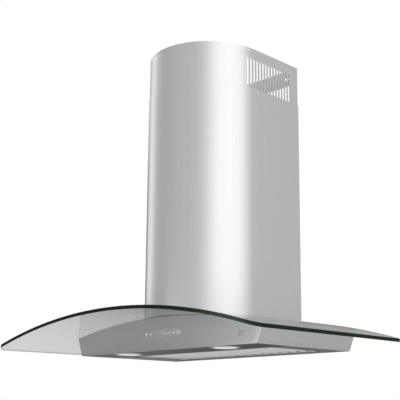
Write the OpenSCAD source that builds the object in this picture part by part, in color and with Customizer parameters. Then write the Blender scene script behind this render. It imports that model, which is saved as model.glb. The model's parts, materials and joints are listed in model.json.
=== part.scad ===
// Wall-mount chimney range hood with an arched glass canopy.
// X runs to the right along the wall, Y = 0 is the wall and the room is towards -Y, Z is up.
// The origin is the middle of the body's lower rear edge. Lengths are in millimetres.

/* [Canopy glass] */
// Width of the glass along the wall
glass_w = 900; // [860:10:940]
// Depth of the glass from the wall
glass_d = 500; // [460:10:540]
// Thickness of the glass
glass_t = 8; // [6:1:9]
// Drop of the glass from its crown to its ends
glass_rise = 66; // [56:2:76]
// Height of the crown of the glass above the underside
crown_h = 88.5; // [86:0.5:94]
// Radius of the two front corners of the glass
glass_corner_r = 25; // [10:1:40]
// Space for the seal strips below and above the glass
seal_gap = 1.5; // [1.2:0.1:2.4]
// Width of the lower seal strips
seal_w = 12; // [8:1:16]

/* [Body] */
// Width of the body at the underside
body_w = 614; // [606:2:624]
// How far each side leans out by the corner height
side_lean = 18; // [12:1:22]
// Height of the fascia's upper corners, at which the lean is measured
corner_h = 46; // [44:1:50]
// Depth of the body from the wall
body_d = 336; // [330:1:342]
// Thickness of the sheet steel
sheet_t = 0.8; // [0.6:0.1:1]
// Thickness of the underside plates
floor_t = 1; // [0.8:0.1:1.2]
// Spacing of the two wall screws in the rear panel
rear_screw_spacing = 400; // [360:10:440]
// Height of the two wall screws in the rear panel
rear_screw_z = 34; // [28:1:40]
// Radius of the wall screw holes
rear_screw_r = 3.5; // [3:0.25:4.5]

/* [Filter] */
// Length of the filter cassette along the wall
filter_w = 500; // [490:2:506]
// Depth of the filter cassette
filter_d = 198; // [188:2:202]
// Height of the filter cassette
filter_h = 12; // [11:0.5:14]
// Distance of the cassette's rear edge from the wall
filter_rear = 24; // [22:1:28]
// Height of the cassette's lower face above the underside
filter_z = 2.4; // [2.2:0.1:3]
// Gap all round the cassette in its opening
filter_gap = 1.5; // [1.2:0.1:2]
// Width of the cassette's channel rails
filter_rail = 12; // [11:0.5:14]
// Number of lower baffles
baffles = 16; // [14:1:17]
// Thickness of a baffle
baffle_t = 0.6; // [0.4:0.1:0.8]
// Radius of the two filter hinge pins
filter_pin_r = 2; // [1.5:0.25:2.25]
// Length of the catch along its rail
catch_l = 20; // [14:1:24]
// Travel of the catch
catch_travel = 4; // [3:0.25:4]

/* [Lamps] */
// Distance of each lamp from the middle
lamp_x = 170; // [150:2:190]
// Distance of the lamps from the wall
lamp_y = 291; // [285:1:292]
// Radius of a lamp lens
lamp_r = 33; // [28:1:34]
// Height of a lamp housing
lamp_h = 20; // [14:1:24]

/* [Controls] */
// Width of the control panel
panel_w = 132; // [130:1:140]
// Height of the control panel
panel_h = 18; // [17:1:20]
// Place of the control panel's middle along the wall
panel_x = 5; // [-20:1:20]
// Height of the control panel's middle
panel_z = 40; // [34:1:44]
// Width of a key
key_w = 11; // [9:0.5:12]
// Height of a key
key_h = 10; // [8:0.5:11]
// Travel of a key
key_travel = 0.8; // [0.5:0.1:1]
// Width of the display window
display_w = 46; // [36:1:48]
// Width of the receiver window
receiver_w = 16; // [12:1:16]
// Width of the blank name plate
plate_w = 32; // [24:1:40]
// Height of the blank name plate
plate_h = 10; // [6:1:14]
// Place of the name plate's middle along the wall
plate_x = 270; // [250:1:275]
// Height of the name plate's middle
plate_z = 25; // [20:1:30]

/* [Chimney] */
// Height of the chimney's top above the underside
chimney_top = 768; // [740:2:820]
// Height of the lower cover's top edge
seam_z = 660; // [600:2:680]
// Room from each side of the blower box to the lower cover's outer face
chimney_room = 34.5; // [33:0.5:41]
// Reach of the blower box's front past the lower cover's flat sides, into its rounded front
chimney_nose = 87.5; // [79:0.5:88]
// Thickness of the cover sheet
cover_t = 0.8; // [0.6:0.1:0.9]
// Gap between the two covers
cover_gap = 0.4; // [0.3:0.05:0.6]
// Length of the upper cover
upper_l = 438; // [400:2:460]
// Width of the return flanges at the covers' open backs
flange_w = 20; // [14:1:21]
// Depth of the hem at the upper cover's top edge
hem_h = 11; // [8:1:14]
// Number of vent slots on each side
vents = 15; // [12:1:15]
// Distance between vent slots
vent_pitch = 11.35; // [11:0.05:11.6]
// Width of a vent slot
vent_w = 5.5; // [4:0.25:6.5]
// Distance of the rearmost vent slot from the wall
vent_rear = 39; // [34:1:40]
// Distance of the vent slots' upper ends below the chimney's top
vent_drop = 28; // [22:1:30]
// Length of a vent slot
vent_l = 78; // [60:1:80]

/* [Blower] */
// Width of the blower box
box_w = 250; // [244:1:252]
// Depth of the blower box
box_d = 250; // [246:1:252]
// Distance of the blower box from the wall
box_rear = 15; // [14:1:17]
// Height of the blower box's top
box_top = 330; // [326:1:340]
// Radius of the blower wheel
wheel_r = 78; // [70:1:80]
// Width of the blower wheel
wheel_w = 104; // [90:1:108]
// Number of blades
blades = 36; // [30:1:40]
// Distance of the wheel's axis from the wall
wheel_y = 122; // [120:1:124]
// Height of the wheel's axis
wheel_z = 208; // [206:1:212]
// Gap between the wheel and the scroll at the cut-off
cutoff_gap = 14; // [12:1:16]
// Growth of the scroll's radius in each quarter turn
volute_step = 9; // [7:0.5:10]
// Wall of the scroll housing
scroll_t = 2; // [1.5:0.25:2.5]
// Radius of the scroll's side inlets
inlet_r = 70; // [66:1:72]
// Radius of the motor
motor_r = 42; // [36:1:46]
// Radius of the motor shaft
shaft_r = 4; // [3:0.25:5]
// Radius of the outlet collar, on which the duct fits
collar_r = 75; // [72:0.5:75]
// Height of the outlet collar
collar_h = 52; // [40:1:60]
// Distance of the outlet collar's axis from the wall
collar_y = 180; // [178:1:184]

/* [Wall fixings] */
// Width of the wall rail
rail_w = 220; // [200:2:240]
// Spacing of the wall rail's screw holes
rail_spacing = 180; // [150:2:190]
// Radius of the wall rail's screw holes
rail_screw_r = 3.5; // [3:0.25:4.5]
// Spacing of the slots in the upper wall bracket
bracket_spacing = 240; // [230:1:242]
// Length of the slots in the upper wall bracket
bracket_slot_l = 20; // [16:1:22]
// Radius of the ends of the slots in the upper wall bracket
bracket_slot_r = 4; // [3:0.25:4.5]
// Height of the upper wall bracket
bracket_h = 44; // [36:1:50]

/* [Hidden] */
// Overrun of a cutting shape past the face that it cuts
cut = 1;
// Running clearance of a pin in its bore
run_fit = 0.05;
// Clearance of a pressed or fixed pin in its bore
press_fit = 0.02;
// Nip that is left on each face of a seal
nip = 0.3;
// Gap under the glass along the fascia's top edge
fascia_gap = 0.5;
arch_fn = 256;
round_fn = 96;
small_fn = 32;

arch_r = (pow(glass_w / 2, 2) + pow(glass_rise, 2)) / (2 * glass_rise);
arch_z = crown_h - arch_r;
under_r = arch_r - glass_t;
roof_r = under_r - seal_gap;
fascia_r = under_r - fascia_gap;
clamp_r = arch_r + seal_gap;
clamp_t = 1.2;
side_slope = side_lean / corner_h;
floor_half = body_w / 2 - sheet_t * sqrt(1 + pow(side_slope, 2)) - 0.2;
roof_half = half_width(corner_h, sheet_t);

opening_w = filter_w + 2 * filter_gap;
opening_front = filter_rear + filter_d + filter_gap;
opening_rear = filter_rear - filter_gap;
front_bar = 8;
lamp_panel_rear = opening_front + front_bar;
rail_t = 0.8;
filter_pin_x = -filter_w / 2 + 4;
filter_pin_z = filter_z + filter_h / 2;
hinge_lug_t = 1.8;
hinge_lug_gap = 0.7;
filter_pin_in = 2.5;
baffle_pitch = (filter_w - 2 * filter_rail) / baffles;
baffle_flat = 6;
baffle_flank = 4;
baffle_rise = filter_h / 2 - 1.3;
catch_y = filter_rear + filter_d / 2;
catch_w = 7;
catch_wall = 1;
catch_gap = 0.3;
catch_tongue = 4.5;
catch_tongue_t = 1.8;
spring_r = 2;

box_half = box_w / 2;
box_front = box_rear + box_d;
box_ceiling = box_top - sheet_t;
chimney_r = box_half + chimney_room;
chimney_side = box_front - chimney_nose;
vent_z = chimney_top - vent_drop - vent_l;
clamp_edge_r = chimney_r - cover_t - 4.7;
glass_cut_gap = 3;
clamp_screw_x = box_half + 15;
clamp_screw_ys = [60, 200];
clamp_screw_r = 3;
screw_cut = 10;

scroll_gap = 10;
scroll_w = wheel_w + 2 * scroll_gap;
volute_r = wheel_r + cutoff_gap;
tongue_u = 10;
throat_front = volute_step / 2 + volute_r + 2 * volute_step;
throat_lip = 8;
wheel_disc_t = 2;
wheel_ring_t = 2;
hub_reach = 3;
blade_d = 14;
blade_t = 0.8;
blade_angle = 25;
motor_in = 6;
spider_t = 2;
arm_w = 14;
arm_over = 14;
capacitor_x = 85;
capacitor_y = 50;
capacitor_r = 15;
capacitor_h = 55;
shaft_end = 14;
collar_t = 0.8;
collar_lip = 4;
flap_r = collar_r - collar_t - 1.7;
flap_t = 0.8;
spindle_r = 1.5;
knuckle_r = 3;
spindle_z = box_top + 5.5;
seat_z = spindle_z - knuckle_r - 0.5;
knuckle_gap = 0.5;
knuckle_l = 30;
knuckle_ends = 70;

upper_r = chimney_r - cover_t - cover_gap;
upper_rear = cover_t + cover_gap;
upper_in_r = upper_r - cover_t;
bracket_t = 1.5;
bracket_y = upper_rear + cover_t + 1;
bracket_depth = 20;
bracket_pad_w = 32;
cover_bracket_y = 30;
cover_bracket_w = 30;
cover_bracket_z = 120;
rail_drop = 12;
rail_h = 48;
rail_lip_z = box_top - rail_drop;
rail_z = rail_lip_z - rail_h;
rail_lip_h = 10;
rail_steel = 1.5;
rail_throw = 8;
rail_hole_rise = 20;
rail_hole_z = rail_z + rail_hole_rise;
hook_margin = 10;
hook_w = rail_w - 2 * hook_margin;
hook_head = 16;
hook_reach = 30;
hook_play = 1;

driver_w = 110;
driver_d = 40;
driver_h = 22;
driver_y = 30;

junction_w = 90;
junction_d = 58;
junction_h = 32;
junction_x1 = 15;
junction_x0 = junction_x1 - junction_w;
junction_y1 = -27;
junction_y0 = junction_y1 - junction_d;
junction_t = 2;
junction_lip = 1;
junction_top = box_top + junction_h;
gland_x = (junction_x0 + junction_x1) / 2;
gland_y = (junction_y0 + junction_y1) / 2;
gland_r = 6.9;
gland_nose = 8;
gland_hex_r = 10;
gland_hex_h = 4;
gland_cap_r = 8.5;
gland_cap_h = 8;
gland_bore_r = 4;

panel_proud = 0.6;
panel_t = 2;
panel_flange = 1.2;
panel_depth = 12;
key_gap = 0.3;
key_lip = 0.8;
key_proud = 0.3;
key_l = 10;
key_xs = [-56, -40.6, 25.2, 40.8];
display_x = -7.5;
receiver_x = 55.3;
board_t = 1.6;

// Inner half width of the body at height z, a distance inside the side's outer face
function half_width(z, inset = 0) = body_w / 2 + side_slope * z - inset * sqrt(1 + pow(side_slope, 2));

// Extrudes a front view, drawn as X and Z, from depth y0 to y1
module along_y(y0, y1) {
    translate([0, y1, 0]) rotate([90, 0, 0]) linear_extrude(height = y1 - y0) children();
}

// Extrudes a side view, drawn as Y and Z, from x0 to x1
module along_x(x0, x1) {
    translate([x0, 0, 0]) rotate([90, 0, 90]) linear_extrude(height = x1 - x0) children();
}

// Round bar along X, Y or Z
module bar_x(r, x0, x1) {
    translate([x0, 0, 0]) rotate([0, 90, 0]) cylinder(r = r, h = x1 - x0, $fn = round_fn);
}
module bar_y(r, y0, y1) {
    translate([0, y1, 0]) rotate([90, 0, 0]) cylinder(r = r, h = y1 - y0, $fn = round_fn);
}

// A box given by two opposite corners
module block(lo, hi) {
    translate(lo) cube([hi[0] - lo[0], hi[1] - lo[1], hi[2] - lo[2]]);
}

// Front view of the arch's disc, and of the band between two arch radii
module arch_disc(r) {
    translate([0, arch_z]) circle(r = r, $fn = arch_fn);
}
module arch_band(r_in, r_out) {
    difference() {
        arch_disc(r_out);
        arch_disc(r_in);
    }
}

// The solid under an arch radius, over the whole depth of the hood
module under_arch(r) {
    along_y(-glass_d - cut, cut) arch_disc(r);
}

// A curved plate between two arch radii, cut to the plan drawn by the children
module arched_plate(r_in, r_out, depth = glass_d) {
    intersection() {
        along_y(-depth, 0) arch_band(r_in, r_out);
        translate([0, 0, -cut]) linear_extrude(height = crown_h + 20) children();
    }
}

// Stands a piece square to the arch at radius r, on the line that meets the glass at x
module on_arch(x, y, r) {
    translate([0, -y, arch_z]) rotate([0, asin(x / arch_r), 0]) translate([0, 0, r]) children();
}

// Front view of the body inside its sides
module body_outline(inset, top_r) {
    intersection() {
        polygon([
            [-half_width(0, inset), 0], [half_width(0, inset), 0],
            [half_width(crown_h, inset), crown_h], [-half_width(crown_h, inset), crown_h]]);
        arch_disc(top_r);
    }
}

// Plan of a rectangle with chosen corner radii at its front
module front_rounded(w, d, r) {
    difference() {
        translate([-w / 2, -d]) square([w, d]);
        for (s = [-1, 1])
            translate([s * (w / 2 - r), -d + r])
                difference() {
                    translate([s > 0 ? 0 : -r - cut, -r - cut]) square([r + cut, r + cut]);
                    circle(r = r, $fn = round_fn);
                }
    }
}

// Plan of the chimney: a half circle in front of two straight sides
module chimney_plan(r, rear) {
    translate([0, -chimney_side]) intersection() {
        circle(r = r, $fn = arch_fn);
        translate([-r - cut, -r - cut]) square([2 * (r + cut), r + cut]);
    }
    translate([-r, -chimney_side]) square([2 * r, chimney_side - rear]);
}

// Sheet cover with an open back and two return flanges
module cover_shell(r, rear, z0, z1) {
    translate([0, 0, z0]) linear_extrude(height = z1 - z0) difference() {
        chimney_plan(r, rear);
        chimney_plan(r - cover_t, rear + cover_t);
        translate([-r + flange_w, -rear - cover_t - cut]) square([2 * (r - flange_w), cover_t + 2 * cut]);
    }
}

// Plan of the blower box, grown by a distance
module box_plan(grow = 0) {
    translate([-box_half - grow, -box_front - grow]) square([box_w + 2 * grow, box_d + 2 * grow]);
}

// Screw holes through the clamp flange, the glass and the roof
module clamp_holes(r) {
    for (s = [-1, 1], y = clamp_screw_ys)
        on_arch(s * clamp_screw_x, y, roof_r)
            translate([0, 0, -screw_cut]) cylinder(r = r, h = 3 * screw_cut, $fn = small_fn);
}

module front_fascia() {
    color([0.62, 0.62, 0.62]) along_y(-body_d, -body_d + sheet_t) difference() {
        body_outline(0, fascia_r);
        translate([panel_x - panel_w / 2 + panel_flange, panel_z - panel_h / 2 + panel_flange])
            square([panel_w - 2 * panel_flange, panel_h - 2 * panel_flange]);
    }
}

module side_panel(side) {
    color([0.68, 0.68, 0.68]) along_y(-body_d + sheet_t, -sheet_t) intersection() {
        difference() {
            body_outline(0, fascia_r);
            body_outline(sheet_t, arch_r);
        }
        translate([side > 0 ? 0 : -body_w, 0]) square([body_w, crown_h]);
    }
}
module side_panel_left() { side_panel(-1); }
module side_panel_right() { side_panel(1); }

module rear_panel() {
    color([0.6, 0.6, 0.6]) along_y(-sheet_t, 0) difference() {
        body_outline(0, fascia_r);
        for (s = [-1, 1])
            translate([s * rear_screw_spacing / 2, rear_screw_z]) circle(r = rear_screw_r, $fn = small_fn);
    }
}

module roof_plate() {
    color([0.6, 0.6, 0.6]) difference() {
        along_y(-body_d + sheet_t, -sheet_t) intersection() {
            body_outline(sheet_t, roof_r);
            arch_band(roof_r - sheet_t, roof_r);
        }
        translate([0, 0, corner_h]) linear_extrude(height = crown_h) box_plan(-sheet_t);
        clamp_holes(clamp_screw_r + 0.2);
    }
}

module underside_frame() {
    color([0.6, 0.6, 0.6]) {
        difference() {
            block([-floor_half, -lamp_panel_rear, 0], [floor_half, -sheet_t, floor_t]);
            block([-opening_w / 2, -opening_front, -cut], [opening_w / 2, -opening_rear, floor_t + cut]);
        }
        for (y = [-filter_rear - filter_d - hinge_lug_gap - filter_gap - hinge_lug_t,
                  -filter_rear + filter_gap + hinge_lug_gap])
            difference() {
                block([filter_pin_x - 7, y, floor_t], [filter_pin_x + 7, y + hinge_lug_t, filter_pin_z + 6]);
                translate([filter_pin_x, 0, filter_pin_z])
                    bar_y(filter_pin_r + press_fit, y - cut, y + hinge_lug_t + cut);
            }
    }
}

module lamp_panel() {
    color([0.35, 0.35, 0.35]) difference() {
        block([-floor_half, -body_d + sheet_t, 0], [floor_half, -lamp_panel_rear - 0.2, floor_t]);
        for (s = [-1, 1])
            translate([s * lamp_x, -lamp_y, -cut])
                cylinder(r = lamp_r + 1.7, h = floor_t + 2 * cut, $fn = round_fn);
    }
}

module glass_canopy() {
    color([0.35, 0.5, 0.42, 0.6]) difference() {
        arched_plate(under_r, arch_r) difference() {
            front_rounded(glass_w, glass_d, glass_corner_r);
            box_plan(glass_cut_gap);
        }
        clamp_holes(clamp_screw_r + 1.5);
    }
}

module glass_seals() {
    color([0.15, 0.15, 0.15]) {
        arched_plate(roof_r + nip, under_r - nip, body_d) difference() {
            translate([-roof_half + seal_w, -body_d + seal_w / 2])
                square([2 * (roof_half - seal_w), body_d - seal_w]);
            translate([-roof_half + 2 * seal_w, -body_d + 1.5 * seal_w])
                square([2 * (roof_half - 2 * seal_w), body_d - 3 * seal_w]);
        }
        difference() {
            arched_plate(arch_r + nip, clamp_r - nip) difference() {
                chimney_plan(clamp_edge_r, box_rear - 5);
                box_plan(glass_cut_gap);
            }
            clamp_holes(clamp_screw_r + 0.5);
        }
    }
}

// Pan-head screw down through the clamp flange with its nut under the roof plate
module glass_clamp_screws() {
    head_h = 3;
    nut_h = 3;
    color([0.75, 0.75, 0.75]) for (s = [-1, 1], y = clamp_screw_ys) {
        on_arch(s * clamp_screw_x, y, clamp_r + clamp_t) {
            translate([0, 0, 0.1]) cylinder(r = 2 * clamp_screw_r, h = head_h, $fn = small_fn);
            translate([0, 0, -seal_gap * 2 - glass_t - clamp_t - sheet_t - nut_h - 2])
                cylinder(r = clamp_screw_r, h = seal_gap * 2 + glass_t + clamp_t + sheet_t + nut_h + 2.1,
                         $fn = small_fn);
            translate([0, 0, -seal_gap * 2 - glass_t - clamp_t - sheet_t - nut_h - 0.1])
                cylinder(r = 2 * clamp_screw_r, h = nut_h, $fn = 6);
        }
    }
}

// Box through the panel's thickness around a middle in the control strip
module strip_block(x, w, h, y0, y1) {
    block([panel_x + x - w / 2, y0, panel_z - h / 2], [panel_x + x + w / 2, y1, panel_z + h / 2]);
}

module control_panel() {
    face = -body_d - panel_proud;
    inner_w = panel_w - 2 * panel_flange - 0.6;
    inner_h = panel_h - 2 * panel_flange - 0.6;
    color([0.7, 0.7, 0.7]) difference() {
        union() {
            strip_block(0, panel_w, panel_h, face, -body_d);
            strip_block(0, inner_w, inner_h, face + 0.1, -body_d + panel_depth);
        }
        strip_block(0, inner_w - 2, inner_h - 2, face + panel_t, -body_d + panel_depth + cut);
        for (x = key_xs)
            strip_block(x, key_w + 2 * key_gap, key_h + 2 * key_gap, face - cut, face + panel_t + cut);
        strip_block(display_x, display_w, key_h, face - cut, face + panel_t + cut);
        strip_block(receiver_x, receiver_w, key_h, face - cut, face + panel_t + cut);
    }
}

// Clear window flush with the strip
module strip_window(x, w) {
    face = -body_d - panel_proud;
    strip_block(x, w - 0.2, key_h - 0.2, face, face + panel_t);
}
module display_window() { color([0.1, 0.12, 0.14]) strip_window(display_x, display_w); }
module receiver_window() { color([0.8, 0.8, 0.8]) strip_window(receiver_x, receiver_w); }

// Push key with a retaining lip behind the strip and a stem to its switch
module key(x) {
    face = -body_d - panel_proud;
    color([0.75, 0.75, 0.75]) {
        strip_block(x, key_w, key_h, face - key_proud, face + panel_t + key_gap + 0.5);
        strip_block(x, key_w + 2 * key_lip, key_h + key_lip, face + panel_t + key_gap, face + panel_t + 1.3);
        strip_block(x, 4, 4, face + panel_t, face + key_l);
    }
}
module key_light() { key(key_xs[0]); }
module key_slower() { key(key_xs[1]); }
module key_faster() { key(key_xs[2]); }
module key_power() { key(key_xs[3]); }

module control_board() {
    back = -body_d + panel_depth;
    stem_end = -body_d - panel_proud + key_l;
    color([0.1, 0.35, 0.2]) {
        strip_block(0, panel_w - 6, panel_h - 4, back, back + board_t);
        for (x = key_xs) strip_block(x, 6, 6, stem_end + key_travel + 0.3, back);
        strip_block(display_x, display_w - 4, key_h - 2, -body_d + panel_t + 1, back);
    }
}

module name_plate() {
    color([0.75, 0.75, 0.75])
        block([plate_x - plate_w / 2, -body_d - panel_proud, plate_z - plate_h / 2],
              [plate_x + plate_w / 2, -body_d, plate_z + plate_h / 2]);
}

// One copy for each lamp
module at_lamps() {
    for (s = [-1, 1]) translate([s * lamp_x, -lamp_y, 0]) children();
}

// Ring of revolution between two radii and two heights
module ring(r_in, r_out, z0, z1) {
    translate([0, 0, z0]) difference() {
        cylinder(r = r_out, h = z1 - z0, $fn = round_fn);
        translate([0, 0, -cut]) cylinder(r = r_in, h = z1 - z0 + 2 * cut, $fn = round_fn);
    }
}

module lamp_bezels() {
    color([0.8, 0.8, 0.8]) at_lamps() {
        ring(lamp_r + 0.2, lamp_r + 3.5, -1.2, 0);
        ring(lamp_r + 0.2, lamp_r + 1.4, -1.2, lamp_h * 0.6);
    }
}
module lamp_lenses() {
    color([0.95, 0.95, 0.95]) at_lamps() translate([0, 0, -0.6])
        cylinder(r = lamp_r, h = 2.4, $fn = round_fn);
}
module lamp_housings() {
    color([0.3, 0.3, 0.3]) at_lamps() {
        translate([0, 0, 2]) cylinder(r = lamp_r - 0.4, h = lamp_h / 2, $fn = round_fn);
        translate([0, 0, 2]) cylinder(r = lamp_r * 0.7, h = lamp_h, $fn = round_fn);
    }
}
module lamp_driver() {
    color([0.9, 0.9, 0.9])
        block([-driver_w / 2, -body_d + driver_y, floor_t],
              [driver_w / 2, -body_d + driver_y + driver_d, floor_t + driver_h]);
}

module filter_frame() {
    z1 = filter_z + filter_h;
    y0 = -filter_rear - filter_d;
    y1 = -filter_rear;
    x1 = filter_w / 2;
    wall_x = x1 - rail_t - catch_w - catch_travel - 2.8;
    color([0.72, 0.72, 0.72]) {
        difference() {
            block([-x1, y0, filter_z], [x1, y1, z1]);
            block([-x1 + rail_t, y0 + rail_t, filter_z + rail_t], [x1 - rail_t, y1 - rail_t, z1 - rail_t]);
            block([-x1 + filter_rail, y0 + filter_rail, filter_z - cut],
                  [x1 - filter_rail, y1 - filter_rail, z1 + cut]);
            translate([filter_pin_x, 0, filter_pin_z]) bar_y(filter_pin_r + run_fit, y0 - cut, y1 + cut);
            // Finger pocket in the lower lip, and the slot for the tongue
            block([x1 - filter_rail - cut, -catch_y - 15, filter_z - cut],
                  [x1 - 3, -catch_y + 15, filter_z + rail_t + 0.1]);
            block([x1 - rail_t - cut, -catch_y - catch_l / 2, filter_z + rail_t],
                  [x1 + cut, -catch_y + catch_l / 2, filter_z + rail_t + catch_tongue_t + 2 * catch_gap]);
        }
        // Back wall of the catch, which the spring stands on
        block([wall_x, -catch_y - 18, filter_z + rail_t - 0.1],
              [wall_x + catch_wall, -catch_y + 18, z1 - rail_t]);
        for (s = [-1, 1])
            block([wall_x, -catch_y + s * 17 - 1, filter_z + rail_t - 0.1],
                  [x1 - rail_t + 0.1, -catch_y + s * 17 + 1, z1 - rail_t + 0.1]);
    }
}

// Folded baffle, flat in the middle with two raised flanks
module baffle_section(flat, flank, rise) {
    lip = baffle_t * 1.4;
    polygon([
        [-flat - flank, rise], [-flat, 0], [flat, 0], [flat + flank, rise],
        [flat + flank - lip, rise], [flat - 0.3 * baffle_t, baffle_t],
        [-flat + 0.3 * baffle_t, baffle_t], [-flat - flank + lip, rise]]);
}

module filter_lower_baffles() {
    color([0.78, 0.78, 0.78])
        along_y(-filter_rear - filter_d + rail_t + 0.4, -filter_rear - rail_t - 0.4)
            for (i = [0:baffles - 1])
                translate([-filter_w / 2 + filter_rail + (i + 0.5) * baffle_pitch, filter_z + rail_t + 0.1])
                    baffle_section(baffle_flat, baffle_flank, baffle_rise);
}
module filter_upper_baffles() {
    color([0.7, 0.7, 0.7])
        along_y(-filter_rear - filter_d + rail_t + 0.4, -filter_rear - rail_t - 0.4)
            for (i = [1:baffles - 1])
                translate([-filter_w / 2 + filter_rail + i * baffle_pitch,
                           filter_z + filter_h - rail_t - 0.1])
                    mirror([0, 1]) baffle_section(baffle_flat - 1.5, baffle_flank, baffle_rise);
}

module filter_hinge_pins() {
    out = hinge_lug_gap + filter_gap + hinge_lug_t;
    color([0.6, 0.6, 0.62]) translate([filter_pin_x, 0, filter_pin_z]) {
        bar_y(filter_pin_r, -filter_rear - filter_d - out, -filter_rear - filter_d + filter_pin_in);
        bar_y(filter_pin_r, -filter_rear - filter_pin_in, -filter_rear + out);
    }
}

module filter_catch() {
    x1 = filter_w / 2 - rail_t - catch_gap;
    z0 = filter_z + rail_t + catch_gap;
    color([0.15, 0.15, 0.15]) {
        block([x1 - catch_w, -catch_y - 15, z0], [x1, -catch_y + 15, z0 + 5]);
        block([x1 - cut, -catch_y - catch_l / 2 + catch_gap, z0],
              [x1 + catch_tongue, -catch_y + catch_l / 2 - catch_gap, z0 + catch_tongue_t]);
    }
}
module filter_catch_spring() {
    x0 = filter_w / 2 - rail_t - catch_w - catch_travel - 2.8 + catch_wall;
    color([0.7, 0.7, 0.72]) translate([x0, -catch_y, filter_z + filter_h / 2 - 0.3])
        difference() {
            bar_x(spring_r, 0, 1.2);
            bar_x(spring_r - 0.7, -cut, 1.2 + cut);
        }
}

module blower_box() {
    color([0.66, 0.68, 0.7]) difference() {
        union() {
            arched_plate(clamp_r, clamp_r + clamp_t) chimney_plan(clamp_edge_r, box_rear - 5);
            difference() {
                translate([0, 0, corner_h]) linear_extrude(height = box_top - corner_h) box_plan();
                under_arch(clamp_r);
            }
        }
        translate([0, 0, 0]) linear_extrude(height = box_ceiling) box_plan(-sheet_t);
        translate([0, -collar_y, box_ceiling - cut])
            cylinder(r = collar_r - collar_t - collar_lip, h = sheet_t + 2 * cut, $fn = round_fn);
        clamp_holes(clamp_screw_r + 0.2);
    }
}

// Side view of the scroll's inside: quarter circles whose centres step, and the throat up to the ceiling
module volute(grow) {
    half = volute_step / 2;
    quarters = [
        [[-half, -half], volute_r, 0], [[-half, -half], volute_r, 90],
        [[half, -half], volute_r + volute_step, 180], [[half, half], volute_r + 2 * volute_step, 270]];
    top = box_ceiling - wheel_z;
    for (q = quarters)
        translate(q[0]) intersection() {
            circle(r = q[1] + grow, $fn = arch_fn);
            rotate(q[2]) square(q[1] + grow + cut);
        }
    translate([-half, -half]) square([volute_step, volute_step]);
    translate([tongue_u - grow, -half]) square([throat_front - tongue_u + 2 * grow, top + half]);
}

// Places a side view at the wheel's axis, with the room to the right
module at_wheel(x0, x1) {
    along_x(x0, x1) translate([-wheel_y, wheel_z]) mirror([1, 0]) children();
}

module scroll_half(side) {
    x_out = side * scroll_w / 2;
    lip_y = wheel_y + tongue_u - throat_lip;
    color([0.25, 0.25, 0.27]) {
        at_wheel(min(0, x_out), max(0, x_out)) difference() {
            volute(scroll_t);
            volute(0);
        }
        at_wheel(min(x_out, x_out - side * scroll_t), max(x_out, x_out - side * scroll_t)) difference() {
            volute(scroll_t / 2);
            circle(r = inlet_r, $fn = round_fn);
        }
        difference() {
            block([min(0, side * (scroll_w / 2 + throat_lip)), -wheel_y - throat_front - throat_lip,
                   box_ceiling - scroll_t],
                  [max(0, side * (scroll_w / 2 + throat_lip)), -lip_y, box_ceiling]);
            block([-scroll_w / 2 + scroll_t, -wheel_y - throat_front, box_ceiling - scroll_t - cut],
                  [scroll_w / 2 - scroll_t, -wheel_y - tongue_u, box_ceiling + cut]);
        }
    }
}
module scroll_half_left() { scroll_half(-1); }
module scroll_half_right() { scroll_half(1); }

// Double-inlet wheel: a middle disc with its hub, two end rings, and blades between them
module wheel_disc() {
    color([0.75, 0.76, 0.78]) translate([0, -wheel_y, wheel_z]) difference() {
        union() {
            bar_x(wheel_r, -wheel_disc_t / 2, wheel_disc_t / 2);
            bar_x(3 * shaft_r, -hub_reach, shaft_end - 2);
        }
        bar_x(shaft_r + press_fit, -wheel_w, wheel_w);
    }
}
module wheel_rings() {
    color([0.72, 0.73, 0.75]) translate([0, -wheel_y, wheel_z]) for (s = [0, 1]) difference() {
        bar_x(wheel_r, -wheel_w / 2 + s * (wheel_w - wheel_ring_t),
              wheel_w / 2 - (1 - s) * (wheel_w - wheel_ring_t));
        bar_x(wheel_r - blade_d - 1.5, -wheel_w, wheel_w);
    }
}
module wheel_blades() {
    blade_w = (wheel_w - wheel_disc_t) / 2 - wheel_ring_t;
    color([0.75, 0.76, 0.78]) translate([0, -wheel_y, wheel_z])
        for (s = [0, 1], i = [0:blades - 1])
            rotate([i * 360 / blades, 0, 0])
                translate([s > 0 ? wheel_disc_t / 2 : -wheel_disc_t / 2 - blade_w, 0,
                           wheel_r - blade_d / 2 - 1])
                    rotate([blade_angle, 0, 0]) translate([0, -blade_t / 2, -blade_d / 2])
                        cube([blade_w, blade_t, blade_d]);
}
module motor_shaft() {
    color([0.8, 0.8, 0.82]) translate([0, -wheel_y, wheel_z])
        bar_x(shaft_r, -scroll_w / 2 + 4, shaft_end);
}
module fan_motor() {
    color([0.55, 0.56, 0.58]) translate([0, -wheel_y, wheel_z]) difference() {
        union() {
            bar_x(motor_r, -scroll_w / 2, -motor_in - 2);
            bar_x(motor_r * 0.3, -scroll_w / 2, -motor_in + 1.5);
        }
        bar_x(shaft_r + run_fit, -scroll_w / 2 + 3, 0);
    }
}
module motor_spider() {
    color([0.6, 0.6, 0.62]) translate([0, -wheel_y, wheel_z]) {
        bar_x(motor_r * 0.7, -scroll_w / 2 - spider_t, -scroll_w / 2);
        for (a = [90, 210, 330])
            rotate([a, 0, 0])
                block([-scroll_w / 2 - spider_t, -arm_w / 2, 0],
                      [-scroll_w / 2, arm_w / 2, inlet_r + arm_over]);
    }
}
module motor_capacitor() {
    color([0.85, 0.85, 0.85]) translate([capacitor_x, -capacitor_y, box_top])
        cylinder(r = capacitor_r, h = capacitor_h, $fn = round_fn);
}

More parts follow.
